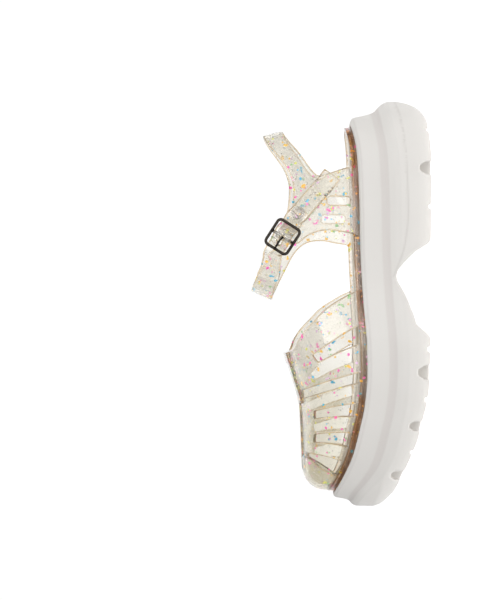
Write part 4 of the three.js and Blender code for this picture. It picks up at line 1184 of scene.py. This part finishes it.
@dataclass
class JellyUpper:
    """The clear moulding: base, vamp, trunks, heel strap and instep strap in one."""

    strap: InstepStrap
    step: float = 0.6
    wall: float = 2.5
    rim_height: float = 4.0
    plate_rise: float = 1.0
    bead_rise: float = 2.0
    bead_width: float = 2.2
    base_bottom: float = -2.6
    vamp_start: float = 116.0
    straight_to: float = 196.0
    toe_centre: float = 236.0
    vamp_end: float = 255.5
    rim_inset: float = 1.1
    plate_from: float = 166.0
    toe_cap_rise: float = 0.8
    slot_from_centre: float = 11.0
    slot_bulge: float = 1.2
    strap_width: float = 12.8
    loop_from: float = 99.5
    loop_above: float = 94.0
    loop_end: float = 118.0
    loop_feather: float = 8.0
    loop_shift: float = 0.9
    loop_thinner: float = 0.8
    trunk_slots: tuple[float, float] = (66.5, 78.0)
    trunk_slot_up: float = 60.6
    trunk_slot_half: tuple[float, float] = (2.5, 7.4)
    trunk_slot_corner: float = 1.6
    raised_above: float = 66.0
    toe_cap_above: float = 3.2
    edge_shade_bend: float = 0.25
    edge_shade_blend: float = 0.45
    toe_shade_share: float = 0.6
    toe_shade_ahead: float = 165.0
    toe_shade_above: float = 50.0
    bed_tint: float = 0.6
    medial_rim_shade: float = 0.3
    rim_half_width: float = 1.4
    plate_gap: float = 0.3
    seat: float = 0.2

    def shape(self) -> Mould:
        """The whole moulding as one mould."""
        mould = Mould((15, -47, 36), (261, 53, 119), self.step)
        self.add_base(mould)
        self.add_vamp(mould)
        self.add_ankle(mould)
        self.strap.band(240).add_to(mould, self.strap_width, self.wall, 0.7, 1.4)
        self.cut_holes(mould)
        return mould

    def add_base(self, mould: Mould) -> None:
        """The rim, the plate and the two windows with their beads."""
        where, (s, y, z) = mould.window((15, -47, 36), (261, 53, 70))
        rim = polygon_distance(Outline(RIM_PLAN).ring(240), s, y)
        rise = z - sole_top(s).astype(np.float32)
        bottom, top, plate_top = self.base_bottom, self.rim_height, self.plate_rise
        half = self.rim_half_width
        ring = rounded_bar(rim + half, rise - (top + bottom) / 2, half, (top - bottom) / 2, 0.7)
        layer = np.abs(rise - (plate_top + bottom) / 2) - (plate_top - bottom) / 2
        plate = soft_max(rim + self.plate_gap, layer, 0.4)
        base = soft_min(ring, plate, 1.6)
        for window in windows():
            hole = polygon_distance(window, s, y)
            middle = (self.bead_rise - 1) / 2
            half = self.bead_width / 2
            bead = rounded_bar(hole - half, rise - middle, half, self.bead_rise - middle, 0.7)
            base = soft_max(soft_min(base, bead, 0.8), -hole, 0.5)
        mould.join(where, base, SHARP)

    def spine_along(self, along: np.ndarray) -> np.ndarray:
        """Where on the spine the section of a rim position ends; towards the toe the sections fan out."""
        reach, run = self.toe_centre - self.straight_to, self.vamp_end - self.straight_to
        t = np.clip((along - self.straight_to) / run, 0, 1)
        curved = self.straight_to + run * t + (3 * reach - 2 * run) * t**2 + (run - 2 * reach) * t**3
        return np.where(along <= self.straight_to, along, curved)

    def sections(self, s: np.ndarray, y: np.ndarray) -> dict[str, np.ndarray]:
        """Where each place in plan lies in the vamp's cross-sections.

        Args:
            s: Along, as a column.
            y: Across, as a row.

        Returns:
            Arrays of reach (0 at the spine, 1 at the rim), bottom, top and roundness.
        """
        outline = Outline(RIM_PLAN)
        turns = np.linspace(float(outline.turn_of(self.vamp_start)), np.pi, 220)
        s, y = np.broadcast_arrays(s, y)
        middle = VAMP_SPINE.curve("across")
        result = {key: np.zeros(s.shape) for key in ("reach", "bottom", "top", "roundness")}
        for side in (1, -1):
            rim = outline.half(side, turns)
            edge = inset(rim, side * self.rim_inset, closed=False)
            along = self.spine_along(rim[:, 0])
            spine = np.stack([along, middle(along)], axis=1)
            arm = edge - spine
            pick = np.nonzero(side * (y - middle(s)) >= 0)
            p = np.stack([s[pick], y[pick]], axis=1)
            cross = arm[:, :1] * (p[None, :, 1] - spine[:, 1:]) - arm[:, 1:] * (p[None, :, 0] - spine[:, :1])
            cross *= side
            j = np.clip((cross < 0).sum(axis=0) - 1, 0, len(turns) - 2)
            before, after = cross[j, np.arange(len(p))], cross[j + 1, np.arange(len(p))]
            t = np.clip(before / np.where(before == after, 1, before - after), 0, 1)[:, None]
            spine_at, arm_at, rim_at = (a[j] * (1 - t) + a[j + 1] * t for a in (spine, arm, rim))
            result["reach"][pick] = ((p - spine_at) * arm_at).sum(axis=1) / (arm_at**2).sum(axis=1)
            result["bottom"][pick] = sole_top(rim_at[:, 0]) + self.rim_height - 1
            result["top"][pick] = VAMP_SPINE.curve("up")(spine_at[:, 0])
            result["roundness"][pick] = VAMP_SPINE.curve("roundness")(spine_at[:, 0])
        return result

    def add_vamp(self, mould: Mould) -> None:
        """The shell over the toes, its raised forms and its open slots."""
        where, (s, y, z) = mould.window((118, -47, 36), (261, 53, 100))
        plan = {k: v[:, :, None].astype(np.float32) for k, v in self.sections(s[:, :, 0], y[:, :, 0]).items()}
        climb = np.maximum(z - plan["bottom"], 0) / (plan["top"] - plan["bottom"])
        power = plan["roundness"]
        skin = (np.maximum(plan["reach"], 1e-3) ** power + climb**power) ** (1 / power) - 1
        skin = as_distance(skin, mould.step)
        outer = skin
        across = VAMP_SPINE.curve("across")
        for start, end, half_width, height in RAISED_FORMS:
            middle = float(across((max(start, self.plate_from) + end) / 2))
            form = rounded_bar(s - (start + end) / 2, y - middle, (end - start) / 2, half_width, 1.5)
            form = np.maximum(form, self.raised_above - z)
            outer = soft_min(outer, soft_max(skin - height, form, 0.6), 0.6)
        cap = polygon_distance(np.concatenate([TOE_CAP_EDGE.edge(24), [(300, 50), (300, 90)]]), s, z)
        rise = z - sole_top(s).astype(np.float32)
        cap = soft_max(soft_max(skin - self.toe_cap_rise, cap, 0.5), self.toe_cap_above - rise, 0.3)
        outer = soft_min(outer, cap, 0.5)
        shell = np.maximum(soft_max(outer, -(skin + self.wall), 0.5), self.seat - rise)
        behind = np.concatenate([COLLAR_EDGE.edge(40), [(90, 115), (90, 40)]])
        shell = soft_max(shell, -polygon_distance(behind, s, z), 0.7)
        cuts = [(1, 0.0, corners) for corners in VAMP_SLOTS]
        cuts += [(-1, ahead, corners) for ahead, corners in zip(MEDIAL_SLOT_SHIFTS, VAMP_SLOTS)]
        for side, ahead, corners in cuts:
            middle = float(across(corners[1][0]))
            slot = polygon_distance(self.slot_outline(corners) + (ahead, 0), s, z)
            slot = soft_max(slot, self.slot_from_centre - side * (y - middle), 0.8)
            shell = soft_max(shell, -slot, 0.7)
        mould.join(where, shell, 1.2)

    def slot_outline(self, corners: Sequence[tuple[float, float]]) -> np.ndarray:
        """A slot's outline, with bowed long edges."""
        rim_rear, inner_rear, inner_front, rim_front = np.array(corners, float)

        def bow(start: np.ndarray, end: np.ndarray, sign: int) -> np.ndarray:
            """One long edge as a shallow curve."""
            direction = (end - start) / np.linalg.norm(end - start)
            middle = (start + end) / 2 + sign * self.slot_bulge * np.array([-direction[1], direction[0]])
            t = np.linspace(0, 1, 9)[:, None]
            return (1 - t) ** 2 * start + 2 * t * (1 - t) * middle + t**2 * end

        return np.concatenate([bow(rim_rear, inner_rear, 1), bow(inner_front, rim_front, -1)])

    def add_ankle(self, mould: Mould) -> None:
        """Both trunks, the heel strap and the loop over the instep."""
        where, (s, y, z) = mould.window((15, -47, 44), (142, 53, 119))
        level = {key: ANKLE_LEVELS.curve(key, "up")(z) for key in ("high", "rear", "front", "bulge")}
        cosine = 2 * (s - level["rear"]) / (level["front"] - level["rear"]) - 1
        turn = np.clip(np.arccos(np.clip(-cosine, -1, 1)), 0.03, np.pi - 0.03)
        low, high = Outline(ANKLE_LOW), Outline(ANKLE_HIGH)
        squares = []
        for side in (1, -1):
            across = low.sides[side](turn) * (1 - level["high"]) + high.sides[side](turn) * level["high"]
            squares.append((y / (np.abs(across) / np.sin(turn) + level["bulge"])) ** 2)
        ring = np.sqrt(np.where(y > 0, squares[0], squares[1]) + cosine**2) - 1
        in_loop = (s > self.loop_from) & (z > self.loop_above) & (y > 0)
        feather = ease((self.loop_end - s) / self.loop_feather) * in_loop
        middle = as_distance(ring.astype(np.float32), mould.step) - self.loop_shift * feather
        wall = np.abs(middle) - self.wall / 2 + self.loop_thinner * feather
        rear = np.concatenate([TRUNK_REAR_EDGE.edge(40), HEEL_STRAP_TOP.edge(30)])
        lateral = polygon_distance(np.concatenate([rear, LATERAL_FRONT.edge(50)]), s, z)
        lateral = np.minimum(lateral, polygon_distance(LATERAL_LOOP.edge(50), s, z))
        front = MEDIAL_FRONT.edge()
        medial = polygon_distance(np.concatenate([rear, front[:1], spline_points(front[1:], 60)]), s, z)
        blend = ease(y / 8 + 0.5)
        side = (medial * (1 - blend) + lateral * blend).astype(np.float32)
        ankle = soft_max(wall, side, 0.8)
        for sign, along in zip((1, -1), self.trunk_slots):
            place = (s - along, z - self.trunk_slot_up)
            slot = rounded_bar(*place, *self.trunk_slot_half, self.trunk_slot_corner)
            slot = soft_max(slot, -sign * y, 0.3)
            ankle = soft_max(ankle, -slot, 0.6)
        ankle = np.maximum(ankle, sole_top(s).astype(np.float32) + self.seat - z)
        mould.join(where, ankle, 1.6)

    def cut_holes(self, mould: Mould) -> None:
        """The holes for the prong and for the stud."""
        holes = Table(
            "behind out half_length half_width low high",
            (-2.5, 7.45, 3.0, 1.1, -2.5, 8.1), (18.4, 0, 2.0, 2.0, -6, 6),
        )  # fmt: skip
        for behind, out, half_length, half_width, low, high in zip(*holes.columns.values()):
            matrix = self.strap.place(behind, out)
            centre = matrix[:3, 3]
            where, grids = mould.window(centre - 11, centre + 11)
            x, y, z = (sum(matrix[i, k] * (a - centre[i]) for i, a in enumerate(grids)) for k in range(3))
            hole = rounded_bar(x, y, half_length, half_width, min(half_length, half_width) - SHARP)
            mould.cut(where, np.maximum(hole, np.maximum(low - z, z - high)).astype(np.float32), 0.4)

    def build(self, finish: "Finish") -> Mould:
        """Makes the moulding and dresses it.

        Args:
            finish: The clear jelly.

        Returns:
            The mould, for what lies inside its wall.
        """
        mould = self.shape()
        piece = mould.mesh("upper_jelly")
        self.add_marks(piece, mould)
        hand_in(piece, finish, "upper")
        return mould

    def add_marks(self, piece: bpy.types.Object, mould: Mould) -> None:
        """Marks the painted shade at the sharp edges and at the toe, the bed round the pads and the painted
        shade along the rim's foot.

        Args:
            piece: The moulding's mesh.
            mould: Its mould, for how sharply the surface turns.
        """
        points = corner_points(piece)
        along, across, up = points.T
        # painted shade at sharp bends, standing for the dark that thick edges refract
        mark(piece, "edge", ease((mould.bend(points) - self.edge_shade_bend) / self.edge_shade_blend))
        # painted shade: darker from the vamp's middle towards the toe, above the lower rim
        toe = ease((along - self.toe_shade_ahead) / 40) * ease((up - self.toe_shade_above) / 8)
        mark(piece, "toe", self.toe_shade_share * toe)
        rise = up - sole_top(along)
        rim = polygon_distance(Outline(RIM_PLAN).ring(240), along, across)
        bed = ease((-rim - 2.6) / 1.2) * ease((self.bead_rise + 0.9 - rise) / 0.8)
        mark(piece, "bed", self.bed_tint * bed)
        # painted shade along the rim's foot, weaker towards the medial side
        band = ease((self.rim_height + 0.6 - rise) / 0.8) * ease((rim + 2.2) / 1.2)
        side = self.medial_rim_shade + (1 - self.medial_rim_shade) * ease((across + 14) / 10)
        mark(piece, "rim", band * side * RIM_SHADE.curve("share")(along))


@dataclass
class InsolePads:
    """The two thin pads that lie in the windows of the jelly base."""

    room: float = 0.4
    bottom: float = -2.6
    rise: float = 0.5
    edge: float = 1.3
    crown: float = 0.25
    rings: int = 26

    def pad(self, name: str, window: np.ndarray) -> bpy.types.Object:
        """One pad.

        Args:
            name: The piece's name.
            window: The window's ring in plan.

        Returns:
            The mesh object.
        """
        outer = inset(window, self.room)
        middle = outer.mean(axis=0)
        levels = [(0.12, self.bottom), (0.0, self.bottom + 0.12), (0.0, self.rise - self.edge * 0.55)]
        bend = [(1 - math.cos(a), math.sin(a)) for a in np.linspace(0, math.pi / 2, 6)]
        levels += [(self.edge * a, self.rise - self.edge * 0.55 * (1 - b)) for a, b in bend[1:]]
        points = [np.column_stack([inset(outer, a), sole_top(inset(outer, a)[:, 0]) + b]) for a, b in levels]
        last = inset(outer, self.edge)
        for k in range(1, self.rings):
            share = k / self.rings
            ring = last + (middle - last) * share
            lift = self.rise + self.crown * math.sin(min(share * 3, 1) * math.pi / 2)
            points.append(np.column_stack([ring, sole_top(ring[:, 0]) + lift]))
        count = len(window)
        faces = grid_faces(len(points), count)
        faces += end_faces(len(points), count)
        return mesh_object(name, np.concatenate(points), faces)

    def build(self, finish: "Finish") -> None:
        """Makes both pads and dresses them."""
        names = (("heel_insole", "heel_pad"), ("forefoot_insole", "forefoot_pad"))
        for (name, node), window in zip(names, windows()):
            piece = self.pad(name, window)
            hand_in(piece, finish, node)


@dataclass
class Buckle:
    """The metal frame and prong, the clear tab that holds them and its stud."""

    strap: InstepStrap
    out: float = 7.45
    length: float = 20.2
    width: float = 18.1
    corner: float = 2.6
    rod: float = 0.9
    rod_width: float = 0.98
    prong: float = 0.7
    play: float = 0.35
    tab_width: float = 9.0
    tab_thickness: float = 1.1
    tab_slit: float = 3.2
    stud_behind: float = 18.4
    stud_radius: float = 4.2
    step: float = 0.16

    def frame(self) -> Mould:
        """The frame with its centre bar."""
        mould = Mould((-12, -11, -2.2), (12, 11, 2.2), self.step, self.strap.place(0, self.out))
        where, (x, y, z) = mould.window(mould.low, mould.high)
        inner = self.rod_width
        edge = rounded_bar(x, y, self.length / 2 - inner + 0.25, self.width / 2 - inner + 0.25, self.corner)
        mould.join(where, rounded_bar(edge, z, inner, self.rod, 0.8).astype(np.float32), SHARP)
        bar = np.maximum(np.hypot(x, z) - self.rod, np.abs(y) - self.width / 2 + inner)
        mould.join(where, bar.astype(np.float32), 0.5)
        return mould

    def pin(self) -> Mould:
        """The prong, with its eye round the centre bar."""
        mould = Mould((-3.5, -2, -3.5), (12, 2, 7), self.step, self.strap.place(0, self.out))
        where, (x, y, z) = mould.window(mould.low, mould.high)
        eye = np.hypot(np.hypot(x, z) - self.rod - self.play - self.prong, y) - self.prong
        mould.join(where, eye.astype(np.float32), SHARP)
        tip = self.length / 2 - self.rod + 0.6
        knots = [(1.6, 1), (3.4, 4.6), (5.6, 4.3), (tip, self.rod + self.prong + 0.4)]
        path = spline_points(np.array(knots), 40)
        pin = np.hypot(run_distance(path, x, z), y) - self.prong
        mould.join(where, pin.astype(np.float32), 0.5)
        return mould

    def tab(self) -> Mould:
        """The clear tab."""
        matrix = self.strap.place(0, self.out)
        inner = self.rod + self.play
        outer = inner + self.tab_thickness
        places = [self.strap.place(behind, out) for behind, out in zip(TAB_RUN["behind"], TAB_RUN["out"])]
        middle, lean = (inner + outer) / 2, math.radians(45)
        back, above = matrix[:3, 0] * math.cos(lean), matrix[:3, 2] * math.sin(lean)
        start = matrix[:3, 3] - back * middle - above * middle
        knots = np.array([start, *[place[:3, 3] for place in places]])
        outward = np.array([matrix[:3, 2], *[place[:3, 2] for place in places]])
        centres = even_points(spline_points(knots, 200), 80)
        share = np.linspace(0, len(knots) - 1, 81)
        normals = np.stack([np.interp(share, np.arange(len(knots)), outward[:, k]) for k in range(3)], axis=1)
        low, high = centres.min(axis=0) - 7, centres.max(axis=0) + 7
        mould = Mould(tuple(low), tuple(high), 0.25)
        Band.through(centres, normals).add_to(mould, self.tab_width, self.tab_thickness, 0.4, SHARP)
        where, grids = mould.window(mould.low, mould.high)
        x, y, z = (sum(matrix[i, k] * (a - matrix[i, 3]) for i, a in enumerate(grids)) for k in range(3))
        eye = rounded_bar(np.hypot(x, z) - middle, y, self.tab_thickness / 2, self.tab_width / 2, 0.4)
        mould.join(where, eye.astype(np.float32), 0.5)
        mould.cut(where, (np.hypot(x, z) - inner).astype(np.float32), 0.2)
        slit = np.maximum(np.abs(y) - self.tab_slit / 2, -3 - x)
        mould.cut(where, slit.astype(np.float32), 0.3)
        self.cut_round(mould, self.stud_behind, 2.0)
        return mould

    def cut_round(self, mould: Mould, behind: float, radius: float) -> None:
        """Cuts a round hole straight through the trunk's side."""
        matrix = self.strap.place(behind, 0)
        where, grids = mould.window(mould.low, mould.high)
        x, y = (sum(matrix[i, k] * (a - matrix[i, 3]) for i, a in enumerate(grids)) for k in range(2))
        mould.cut(where, (np.hypot(x, y) - radius).astype(np.float32), 0.3)

    def stud(self) -> bpy.types.Object:
        """The clear domed stud, turned about its axis."""
        base = float(TAB_RUN["out"][-1]) + self.tab_thickness / 2 + 0.4
        flange, shank, inside, head = 3.1, 1.5, -2.25, 1.35
        edge = self.stud_radius
        profile = [
            (0, inside - 1), (flange - 0.6, inside - 1), (flange - 0.2, inside - 0.85),
            (flange, inside - 0.5), (flange - 0.1, inside), (shank, inside), (shank, base),
            (edge - 0.25, base), (edge, base + 0.15), (edge, base + 0.5), (edge - 0.25, base + 0.75),
            (edge - 0.9, base + 0.72), (edge - 1.15, base + 0.6),
        ]  # fmt: skip
        dome = edge - 1.2
        angles = np.linspace(0, math.pi / 2, 10)
        profile += [(dome * math.cos(a), base + 0.6 + (head - 0.6) * math.sin(a)) for a in angles]
        count = 72
        turn = np.linspace(0, 2 * math.pi, count, endpoint=False)
        circle = np.column_stack([np.cos(turn), np.sin(turn)])
        rings = [np.column_stack([max(r, 0.01) * circle, np.full(count, h)]) for r, h in profile]
        points = np.concatenate(rings)
        matrix = self.strap.place(self.stud_behind, 0)
        faces = grid_faces(len(rings), count) + end_faces(len(rings), count)
        return mesh_object("stud_clear", points @ matrix[:3, :3].T + matrix[:3, 3], faces)

    def build(self, metal: "Finish", jelly: "Finish", clear: "Finish") -> None:
        """Makes the four pieces and dresses them.

        Args:
            metal: The finish of frame and prong.
            jelly: The finish of the tab.
            clear: The finish of the stud.
        """
        hand_in(self.frame().mesh("frame_polished"), metal, "buckle_frame")
        hand_in(self.pin().mesh("prong_polished"), metal, "buckle_prong")
        hand_in(self.tab().mesh("tab_jelly"), jelly, "buckle_tab")
        hand_in(self.stud(), clear, "rivet_stud")


class Grain(Enum):
    """What is scattered in the jelly: a name, a colour and a share of all its kind."""

    @property
    def colour(self) -> Colour:
        """Its colour."""
        return self.value[1]

    @property
    def share(self) -> float:
        """Its share of all the grains of its kind."""
        return self.value[2]


class Flake(Grain):
    """The foil flakes."""

    PINK = ("pink", (0.92, 0.09, 0.52), 0.22)
    CYAN = ("cyan", (0.02, 0.48, 0.80), 0.18)
    GOLD = ("gold", (0.96, 0.55, 0.005), 0.26)
    LIME = ("lime", (0.72, 0.74, 0.08), 0.15)
    GREEN = ("green", (0.25, 0.55, 0.20), 0.08)
    LILAC = ("lilac", (0.78, 0.50, 0.82), 0.11)


class Speck(Grain):
    """The fine specks."""

    DARK = ("dark", (0.07, 0.05, 0.03), 0.55)
    WHITE = ("white", (0.92, 0.90, 0.86), 0.45)


@dataclass
class Glitter:
    """Foil flakes and fine specks in the wall of the jelly."""

    seed: int = 11
    flakes: int = 760
    specks: int = 3400
    radius: float = 0.85
    speck_radius: float = 0.26
    twins: float = 0.22
    twin_apart: float = 1.6
    tilt: float = 0.22
    corners: int = 6
    shallow: float = 0.35
    deep: float = 2.0
    margin: float = 0.2

    def places(
        self, surface: bpy.types.Object, mould: Mould, count: int, rng: np.random.Generator
    ) -> tuple[np.ndarray, np.ndarray]:
        """Random places inside the wall, some of them in pairs.

        Args:
            surface: The moulding's mesh.
            mould: Its mould, which tells inside from outside.
            count: How many places.
            rng: The source of chance.

        Returns:
            The places and the directions across the wall there.
        """
        mesh = surface.data
        areas = np.zeros(len(mesh.polygons))
        mesh.polygons.foreach_get("area", areas)
        centres = np.zeros(len(mesh.polygons) * 3)
        mesh.polygons.foreach_get("center", centres)
        pick = rng.choice(len(areas), count * 3, p=areas / areas.sum())
        points = centres.reshape(-1, 3)[pick] / MM + (SOLE_LENGTH / 2, 0, 0)
        normals = unit(mould.slope(points))
        points = points - normals * rng.uniform(self.shallow, self.deep, (len(points), 1))
        inside = np.nonzero(mould.sample(points) < -self.margin)[0][:count]
        points, normals = points[inside], normals[inside]
        beside = unit(np.cross(normals, rng.normal(0, 1, normals.shape)))
        twins = points + beside * self.radius * self.twin_apart
        kept = (rng.uniform(0, 1, len(points)) < self.twins) & (mould.sample(twins) < -self.margin)
        return np.concatenate([points, twins[kept]]), np.concatenate([normals, normals[kept]])

    def cloud(
        self, name: str, places: np.ndarray, normals: np.ndarray, radius: float, rng: np.random.Generator
    ) -> bpy.types.Object:
        """Flat ragged hexagons at the places, each roughly in line with the wall.

        Args:
            name: The piece's name.
            places: Their centres.
            normals: The directions across the wall.
            radius: Their mean radius.
            rng: The source of chance.

        Returns:
            One mesh object.
        """
        facing = unit(normals + rng.normal(0, self.tilt, normals.shape))
        side = unit(np.cross(facing, rng.normal(0, 1, normals.shape)))
        other = np.cross(facing, side)
        sizes = radius * np.clip(rng.lognormal(0, 0.3, (len(places), 1)), 0.5, 1.5)
        sizes = sizes * rng.uniform(0.6, 1.15, (len(places), self.corners))
        turn = np.linspace(0, 2 * math.pi, self.corners, endpoint=False)[:, None]
        spokes = side[:, None] * np.cos(turn) + other[:, None] * np.sin(turn)
        corners = places[:, None] + sizes[:, :, None] * spokes
        faces = np.arange(len(places) * self.corners).reshape(-1, self.corners).tolist()
        return mesh_object(name, corners.reshape(-1, 3), faces, smooth=False)

    def build(self, surface: bpy.types.Object, mould: Mould) -> None:
        """Makes one piece for each colour, and the dark and white specks.

        Args:
            surface: The moulding's mesh.
            mould: Its mould.
        """
        rng = np.random.default_rng(self.seed)
        for flake in Flake:
            places, normals = self.places(surface, mould, int(self.flakes * flake.share), rng)
            piece = self.cloud(f"flakes_{flake.value[0]}", places, normals, self.radius, rng)
            hand_in(piece, GlowingFoilFinish(f"foil_{flake.value[0]}", flake.colour))
        for speck in Speck:
            places, normals = self.places(surface, mould, int(self.specks * speck.share), rng)
            piece = self.cloud(f"specks_{speck.value[0]}", places, normals, self.speck_radius, rng)
            hand_in(piece, GlowingFoilFinish(f"speck_{speck.value[0]}", speck.colour))


class Softbox(Enum):
    """The lamps: a place and a side in metres, and a power in watts."""

    TOP = ((-0.5, 0.5, 1.5), 1.0, 12.5)
    SIDE = ((-0.42, 2.3, 0.34), 1.0, 8.8)
    TOE = ((1.4, 1.2, 0.9), 1.0, 0.8)


@dataclass
class Studio:
    """The pale floor, the soft light and the camera at the photograph's angle."""

    distance: float = 4.98
    aim: tuple[float, float, float] = (-0.0016, 0.020, 0.1176)
    lens: float = 453.3
    roll: float = math.radians(0.7)
    elevation: float = math.radians(2.5)
    floor_reach: float = 4.0
    floor_parts: int = 8
    ambient: float = 0.3
    backdrop: float = 1.03
    shoe_middle: tuple[float, float, float] = (0, 0, 0.05)

    def floor(self) -> None:
        """The pale floor under the shoe."""
        row = self.floor_parts + 1
        ticks = np.linspace(-self.floor_reach, self.floor_reach, row)
        points = [(x / MM + SOLE_LENGTH / 2, y / MM, 0) for y in ticks for x in ticks]
        firsts = [j * row + i for j in range(row - 1) for i in range(row - 1)]
        faces = [(k, k + 1, k + row + 1, k + row) for k in firsts]
        piece = mesh_object("floor", np.array(points), faces)
        piece.data.materials.append(FloorFinish("studio_floor").material())

    def camera(self) -> None:
        """The camera, rolled so that the heel is at the top of the picture."""
        data = bpy.data.cameras.new("camera")
        data.lens = self.lens
        camera = bpy.data.objects.new("camera", data)
        heel_up = Matrix(((0, -1, 0), (0, 0, 1), (-1, 0, 0))) @ Matrix.Rotation(self.roll, 3, "Z")
        raised = Matrix.Rotation(self.elevation, 3, "X")
        place = Vector(self.aim) + raised @ Vector((0, self.distance, 0))
        camera.matrix_world = Matrix.Translation(place) @ (raised @ heel_up).to_4x4()
        bpy.context.scene.collection.objects.link(camera)
        bpy.context.scene.camera = camera

    def lamp(self, name: str, place: Sequence[float], size: float, power: float) -> None:
        """One large soft lamp that faces the shoe.

        Args:
            name: Its name.
            place: Where it hangs, in metres.
            size: The side of its square.
            power: Its power in watts.
        """
        data = bpy.data.lights.new(name, "AREA")
        data.size, data.energy = size, power
        lamp = bpy.data.objects.new(name, data)
        lamp.location = place
        lamp.rotation_mode = "QUATERNION"
        lamp.rotation_quaternion = (Vector(place) - Vector(self.shoe_middle)).to_track_quat("Z", "Y")
        lamp.visible_camera = False
        bpy.context.scene.collection.objects.link(lamp)

    def build(self) -> None:
        """Sets up floor, camera, lamps and surroundings."""
        bpy.context.scene.view_settings.view_transform = "Standard"
        self.floor()
        self.camera()
        for box in Softbox:
            self.lamp(f"{box.name.lower()}_softbox", *box.value)
        self.surroundings()

    def surroundings(self) -> None:
        """White behind the shoe as the camera sees it, and a softer grey elsewhere."""
        world = bpy.data.worlds.new("surroundings")
        bpy.context.scene.world = world
        world.use_nodes = True
        recipe = Recipe(world.node_tree)
        direction = recipe.add("TexCoord").outputs["Generated"]
        across = recipe.wire(recipe.add("SeparateXYZ", {}, {0: direction}).outputs["Y"])
        reach = {"From Min": -0.35, "From Max": -0.8, "To Min": self.ambient, "To Max": self.backdrop}
        behind = recipe.add("MapRange", {"interpolation_type": "SMOOTHSTEP"}, {"Value": across, **reach})
        tone = recipe.add("CombineColor", {}, {channel: behind.outputs[0] for channel in range(3)})
        background = recipe.add("Background", {}, {"Color": tone.outputs[0], "Strength": 1.0})
        recipe.add("OutputWorld", {}, {"Surface": background.outputs[0]})


def main() -> None:
    """Builds each sub-assembly in order and reports each piece."""
    logging.basicConfig(level=logging.INFO, format="%(relativeCreated)6d ms %(message)s")
    strap = InstepStrap()
    jelly = JellyFinish("glitter_jelly")
    Studio().build()
    Platform().build(FoamFinish("moulded_foam"))
    mould = JellyUpper(strap).build(jelly)
    InsolePads().build(PadFinish("insole_skin"))
    Buckle(strap).build(MetalFinish("dark_nickel"), jelly, ClearFinish("polished_clear"))
    Glitter().build(bpy.data.objects["upper_jelly"], mould)


if __name__ == "__main__":
    main()
